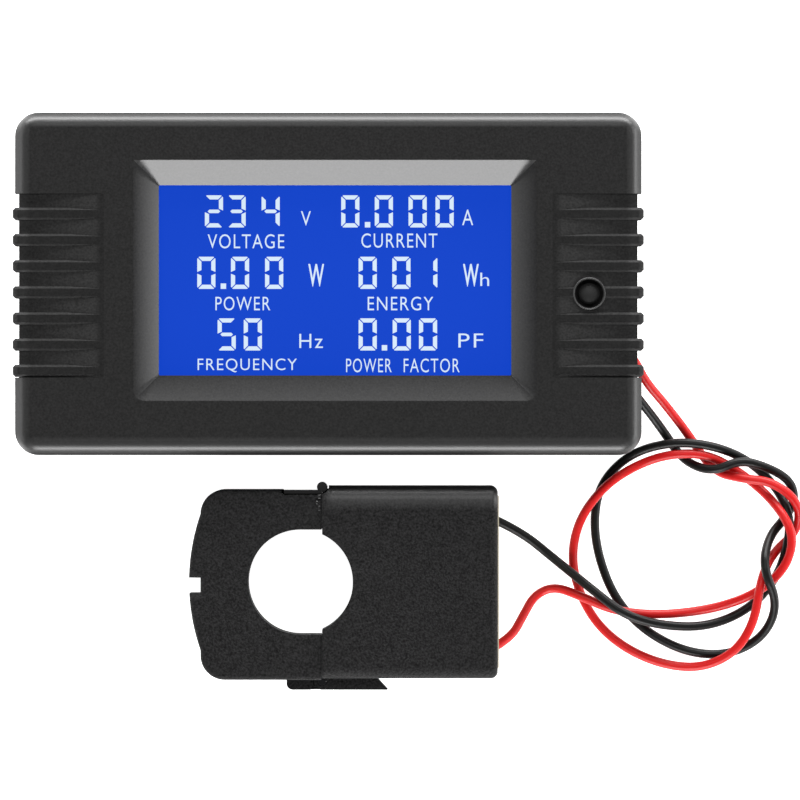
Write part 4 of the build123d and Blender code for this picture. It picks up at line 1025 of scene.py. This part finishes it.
class MeterLightDisplay(Operator):
    """Light the display and show its readings, units and labels"""

    bl_idname = "meter.light_display"
    bl_label = "Light Display"

    def execute(self, context):
        look = context.scene.meter_display_look
        face_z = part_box("display_front_film")[1].z
        lit = display_glow("display_film", look.glow, FILM_VARIATION, FILM_SPECULAR)
        clear = display_glow("display_digits", look.digits, DIGIT_VARIATION, DIGIT_SPECULAR)
        dress(lit, "display_front_film")
        segments = make_segments(look.digit_width, look.digit_height, look.stroke)
        segments["."] = segment_bar(POINT_SIZE, POINT_SIZE, [])
        for segment in segments.values():
            apply_modifier(segment, "SOLIDIFY", thickness=look.relief, offset=1.0)
        for name, (row, digits) in READINGS.items():
            bars = [(letter, left) for digit, left in digits for letter in LIT_SEGMENTS[digit]]
            if name in POINT_PLACES:
                bars.append((".", POINT_PLACES[name]))
            copies = [
                copy_to(segments[letter], (left * MM, DIGIT_ROWS[row] * MM, face_z))
                for letter, left in bars
            ]
            finish_piece(join_pieces(copies), f"reading_{name}", clear, METER)
        for segment in segments.values():
            bpy.data.objects.remove(segment)
        for kind, words in (("label", LABELS), ("unit", UNITS)):
            for name, (text, box) in words.items():
                weight = look.heavy_weight if name in HEAVY_WORDS else look.text_weight
                word = word_in_box(text, box, face_z, look.relief, weight)
                finish_piece(word, f"{kind}_{name}", clear, METER)
        return {"FINISHED"}


class MeterDressDisplayStack(Operator):
    """Give the hidden layers of the display their glass, white plastic and metal"""

    bl_idname = "meter.dress_display_stack"
    bl_label = "Dress Display Stack"

    def execute(self, context):
        dress_all(DISPLAY_STACK)
        return {"FINISHED"}


# Electronics and terminals

class MeterDressElectronics(Operator):
    """Give the board, its parts and the terminals their finishes"""

    bl_idname = "meter.dress_electronics"
    bl_label = "Dress Electronics"

    def execute(self, context):
        dress_all(ELECTRONICS)
        return {"FINISHED"}


# Current transformer

def transformer_plastic(look):
    """Pebbled plastic with a band along its top edge that handling has polished."""
    finish = Plastic(
        look.colour, look.roughness, look.grain, SHELL_CONTRAST, look.grain_depth, look.specular
    )
    material, drift = moulded_surface("ct_plastic", finish, SHELL_DRIFT_SIZE, GLOSS_SIZE)
    tree = material.node_tree
    polished = zone_mask(tree, POLISHED_BAND, -3, 4, BAND_FADE)
    feed(tree, tree.nodes["Principled BSDF"], {
        "Coat Weight": calculate(tree, "MULTIPLY", -2, 4, polished, drift),
        "Coat Roughness": look.band_roughness,
    })
    return material


def seam_film(gap):
    """The thin dark sheet of painted shade on the rims of the seam, one frame round each leg of the
    core, standing in for the shade inside the gap.
    """
    seam_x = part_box("ct_core_fixed")[0].x
    low_z, high_z = (corner.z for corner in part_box("ct_jaw_shell"))
    inset = 2 * gap
    frames = []
    for high_y, low_y in SEAM_LEGS:
        deselect()
        bpy.ops.mesh.primitive_cube_add(
            size=1.0, scale=(0.9 * gap, high_y - low_y, high_z - low_z - 2 * inset),
            location=(seam_x - gap / 2, (high_y + low_y) / 2, (low_z + high_z) / 2),
        )
        rim = bpy.context.object
        settle(rim)
        bpy.ops.object.mode_set(mode="EDIT")
        bpy.ops.mesh.select_mode(type="FACE")
        bpy.ops.mesh.select_all(action="DESELECT")
        bpy.ops.object.mode_set(mode="OBJECT")
        for face in rim.data.polygons:
            face.select = abs(face.normal.x) > 0.9
        bpy.ops.object.mode_set(mode="EDIT")
        bpy.ops.mesh.inset(thickness=SHADE_SHEET_WIDTH)
        bpy.ops.mesh.bridge_edge_loops()
        bpy.ops.object.mode_set(mode="OBJECT")
        frames.append(rim)
    return join_pieces(frames)


def seam_teeth():
    """The small glossy teeth that show where the jaw's latch meets the body."""
    face_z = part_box("ct_jaw_shell")[1].z
    teeth = []
    for x, y, length, width in SEAM_TEETH:
        deselect()
        bpy.ops.mesh.primitive_cube_add(
            size=1.0, location=(x, y, face_z), scale=(width, length, width / 2)
        )
        tooth = bpy.context.object
        settle(tooth)
        apply_modifier(tooth, "BEVEL", width=width / 5, segments=2)
        bpy.ops.object.shade_smooth()
        teeth.append(tooth)
    return join_pieces(teeth)


class MeterDressTransformer(Operator):
    """Give the current transformer its shells, core, winding and potting"""

    bl_idname = "meter.dress_transformer"
    bl_label = "Dress Transformer"

    def execute(self, context):
        look = context.scene.meter_transformer_look
        dress(transformer_plastic(look), "ct_body_shell", "ct_jaw_shell")
        # Painted shade: a dark sheet fills the seam's gap and stands in for the shade inside it
        dull = Plastic(look.colour, roughness=0.7, grain=look.grain, contrast=0.3)
        film = moulded_plastic("seam_film", dull)
        finish_piece(seam_film(SEAM_GAP), "seam_film", film, METER)
        glossy = Plastic(look.colour, roughness=0.14, grain=0.0008, contrast=0.1, depth=0.00001)
        latch = moulded_plastic("latch_plastic", glossy)
        finish_piece(seam_teeth(), "seam_teeth", latch, JAW)
        bead = moulded_plastic("ct_catch_plastic", glossy._replace(roughness=0.12))
        dress(bead, "ct_catch")
        dress_all(TRANSFORMER_PARTS)
        return {"FINISHED"}


# Studio

def soft_box(name, power, width, height, bearing, rise):
    """An area light that looks at the object from a bearing and a height, both in degrees."""
    turn, lift = radians(bearing), radians(rise)
    away = Vector((cos(lift) * cos(turn), cos(lift) * sin(turn), sin(lift))) * SOFT_BOX_DISTANCE
    deselect()
    bpy.ops.object.light_add(type="AREA", location=Vector(SOFT_BOX_TARGET) + away)
    lamp = bpy.context.object
    lamp.name = name
    lamp.data.shape = "RECTANGLE"
    lamp.data.size = width
    lamp.data.size_y = height
    lamp.data.energy = power
    lamp.rotation_mode = "QUATERNION"
    lamp.rotation_quaternion = (-away).to_track_quat("-Z", "Y")


def lay_floor(glow):
    """The pale floor, which gives off an even light."""
    deselect()
    bpy.ops.mesh.primitive_plane_add(size=FLOOR_SIZE, location=(*STAGE_CENTRE, 0.0))
    floor = bpy.context.object
    floor.name = "floor"
    settle(floor)
    material, tree, shader = new_material("floor_paper")
    tone = mottle(tree, -3, 0, FLOOR_DRIFT_SIZE, 1.0, FLOOR_DRIFT)
    feed(tree, shader, {
        "Base Color": shaded_colour(tree, FLOOR_COLOUR, tone),
        "Roughness": FLOOR_ROUGHNESS,
        "Specular IOR Level": 0.0,
        "Emission Color": WHITE,
        "Emission Strength": glow,
    })
    floor.data.materials.append(material)


def place_camera(distance, width):
    """The camera straight over the object, with the picture's width at the case's face."""
    face_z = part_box("front_shell")[1].z
    deselect()
    bpy.ops.object.camera_add(location=(*STAGE_CENTRE, face_z + distance))
    camera = bpy.context.object
    camera.name = "camera"
    camera.data.sensor_width = SENSOR
    camera.data.lens = SENSOR * distance / width
    camera.data.clip_start = 0.1
    camera.data.clip_end = 2 * distance
    camera.data.dof.use_dof = False
    bpy.context.scene.camera = camera


class MeterSetStage(Operator):
    """Set the pale floor, the soft light and the camera that looks straight down"""

    bl_idname = "meter.set_stage"
    bl_label = "Set Stage"

    def execute(self, context):
        look = context.scene.meter_stage_look
        scene = context.scene
        lay_floor(look.table_light)
        world = bpy.data.worlds.new("studio")
        world.use_nodes = True
        background = world.node_tree.nodes["Background"]
        feed(world.node_tree, background, {"Strength": look.surround, "Color": WHITE})
        scene.world = world
        for side, shape in SOFT_BOXES.items():
            soft_box(f"{side}_soft_box", getattr(look, f"{side}_light"), *shape)
        scene.view_settings.view_transform = "Standard"
        place_camera(look.view_distance, look.view_width)
        return {"FINISHED"}


OPERATORS = (
    MeterLayLeads,
    MeterDressCase,
    MeterLightDisplay,
    MeterDressDisplayStack,
    MeterDressElectronics,
    MeterDressTransformer,
    MeterSetStage,
)


class MeterPanel(Panel):
    """Steps that dress the power meter, in order"""

    bl_idname = "VIEW3D_PT_power_meter"
    bl_label = "Power Meter"
    bl_space_type = "VIEW_3D"
    bl_region_type = "UI"
    bl_category = "Power Meter"

    def draw(self, context):
        for step in OPERATORS:
            self.layout.operator(step.bl_idname)
        for name, look in LOOKS.items():
            box = self.layout.box()
            box.label(text=look.__doc__)
            for prop in look.__annotations__:
                box.prop(getattr(context.scene, name), prop)


def register():
    """Register the looks, the steps and the panel."""
    for item in (*LOOKS.values(), *OPERATORS, MeterPanel):
        bpy.utils.register_class(item)
    for name, look in LOOKS.items():
        setattr(bpy.types.Scene, name, PointerProperty(type=look))


def unregister():
    """Take everything back out."""
    for name in LOOKS:
        delattr(bpy.types.Scene, name)
    for item in reversed((*LOOKS.values(), *OPERATORS, MeterPanel)):
        bpy.utils.unregister_class(item)


def main():
    """Run every step."""
    register()
    for step in OPERATORS:
        group, name = step.bl_idname.split(".")
        getattr(getattr(bpy.ops, group), name)()


if __name__ == "__main__":
    main()
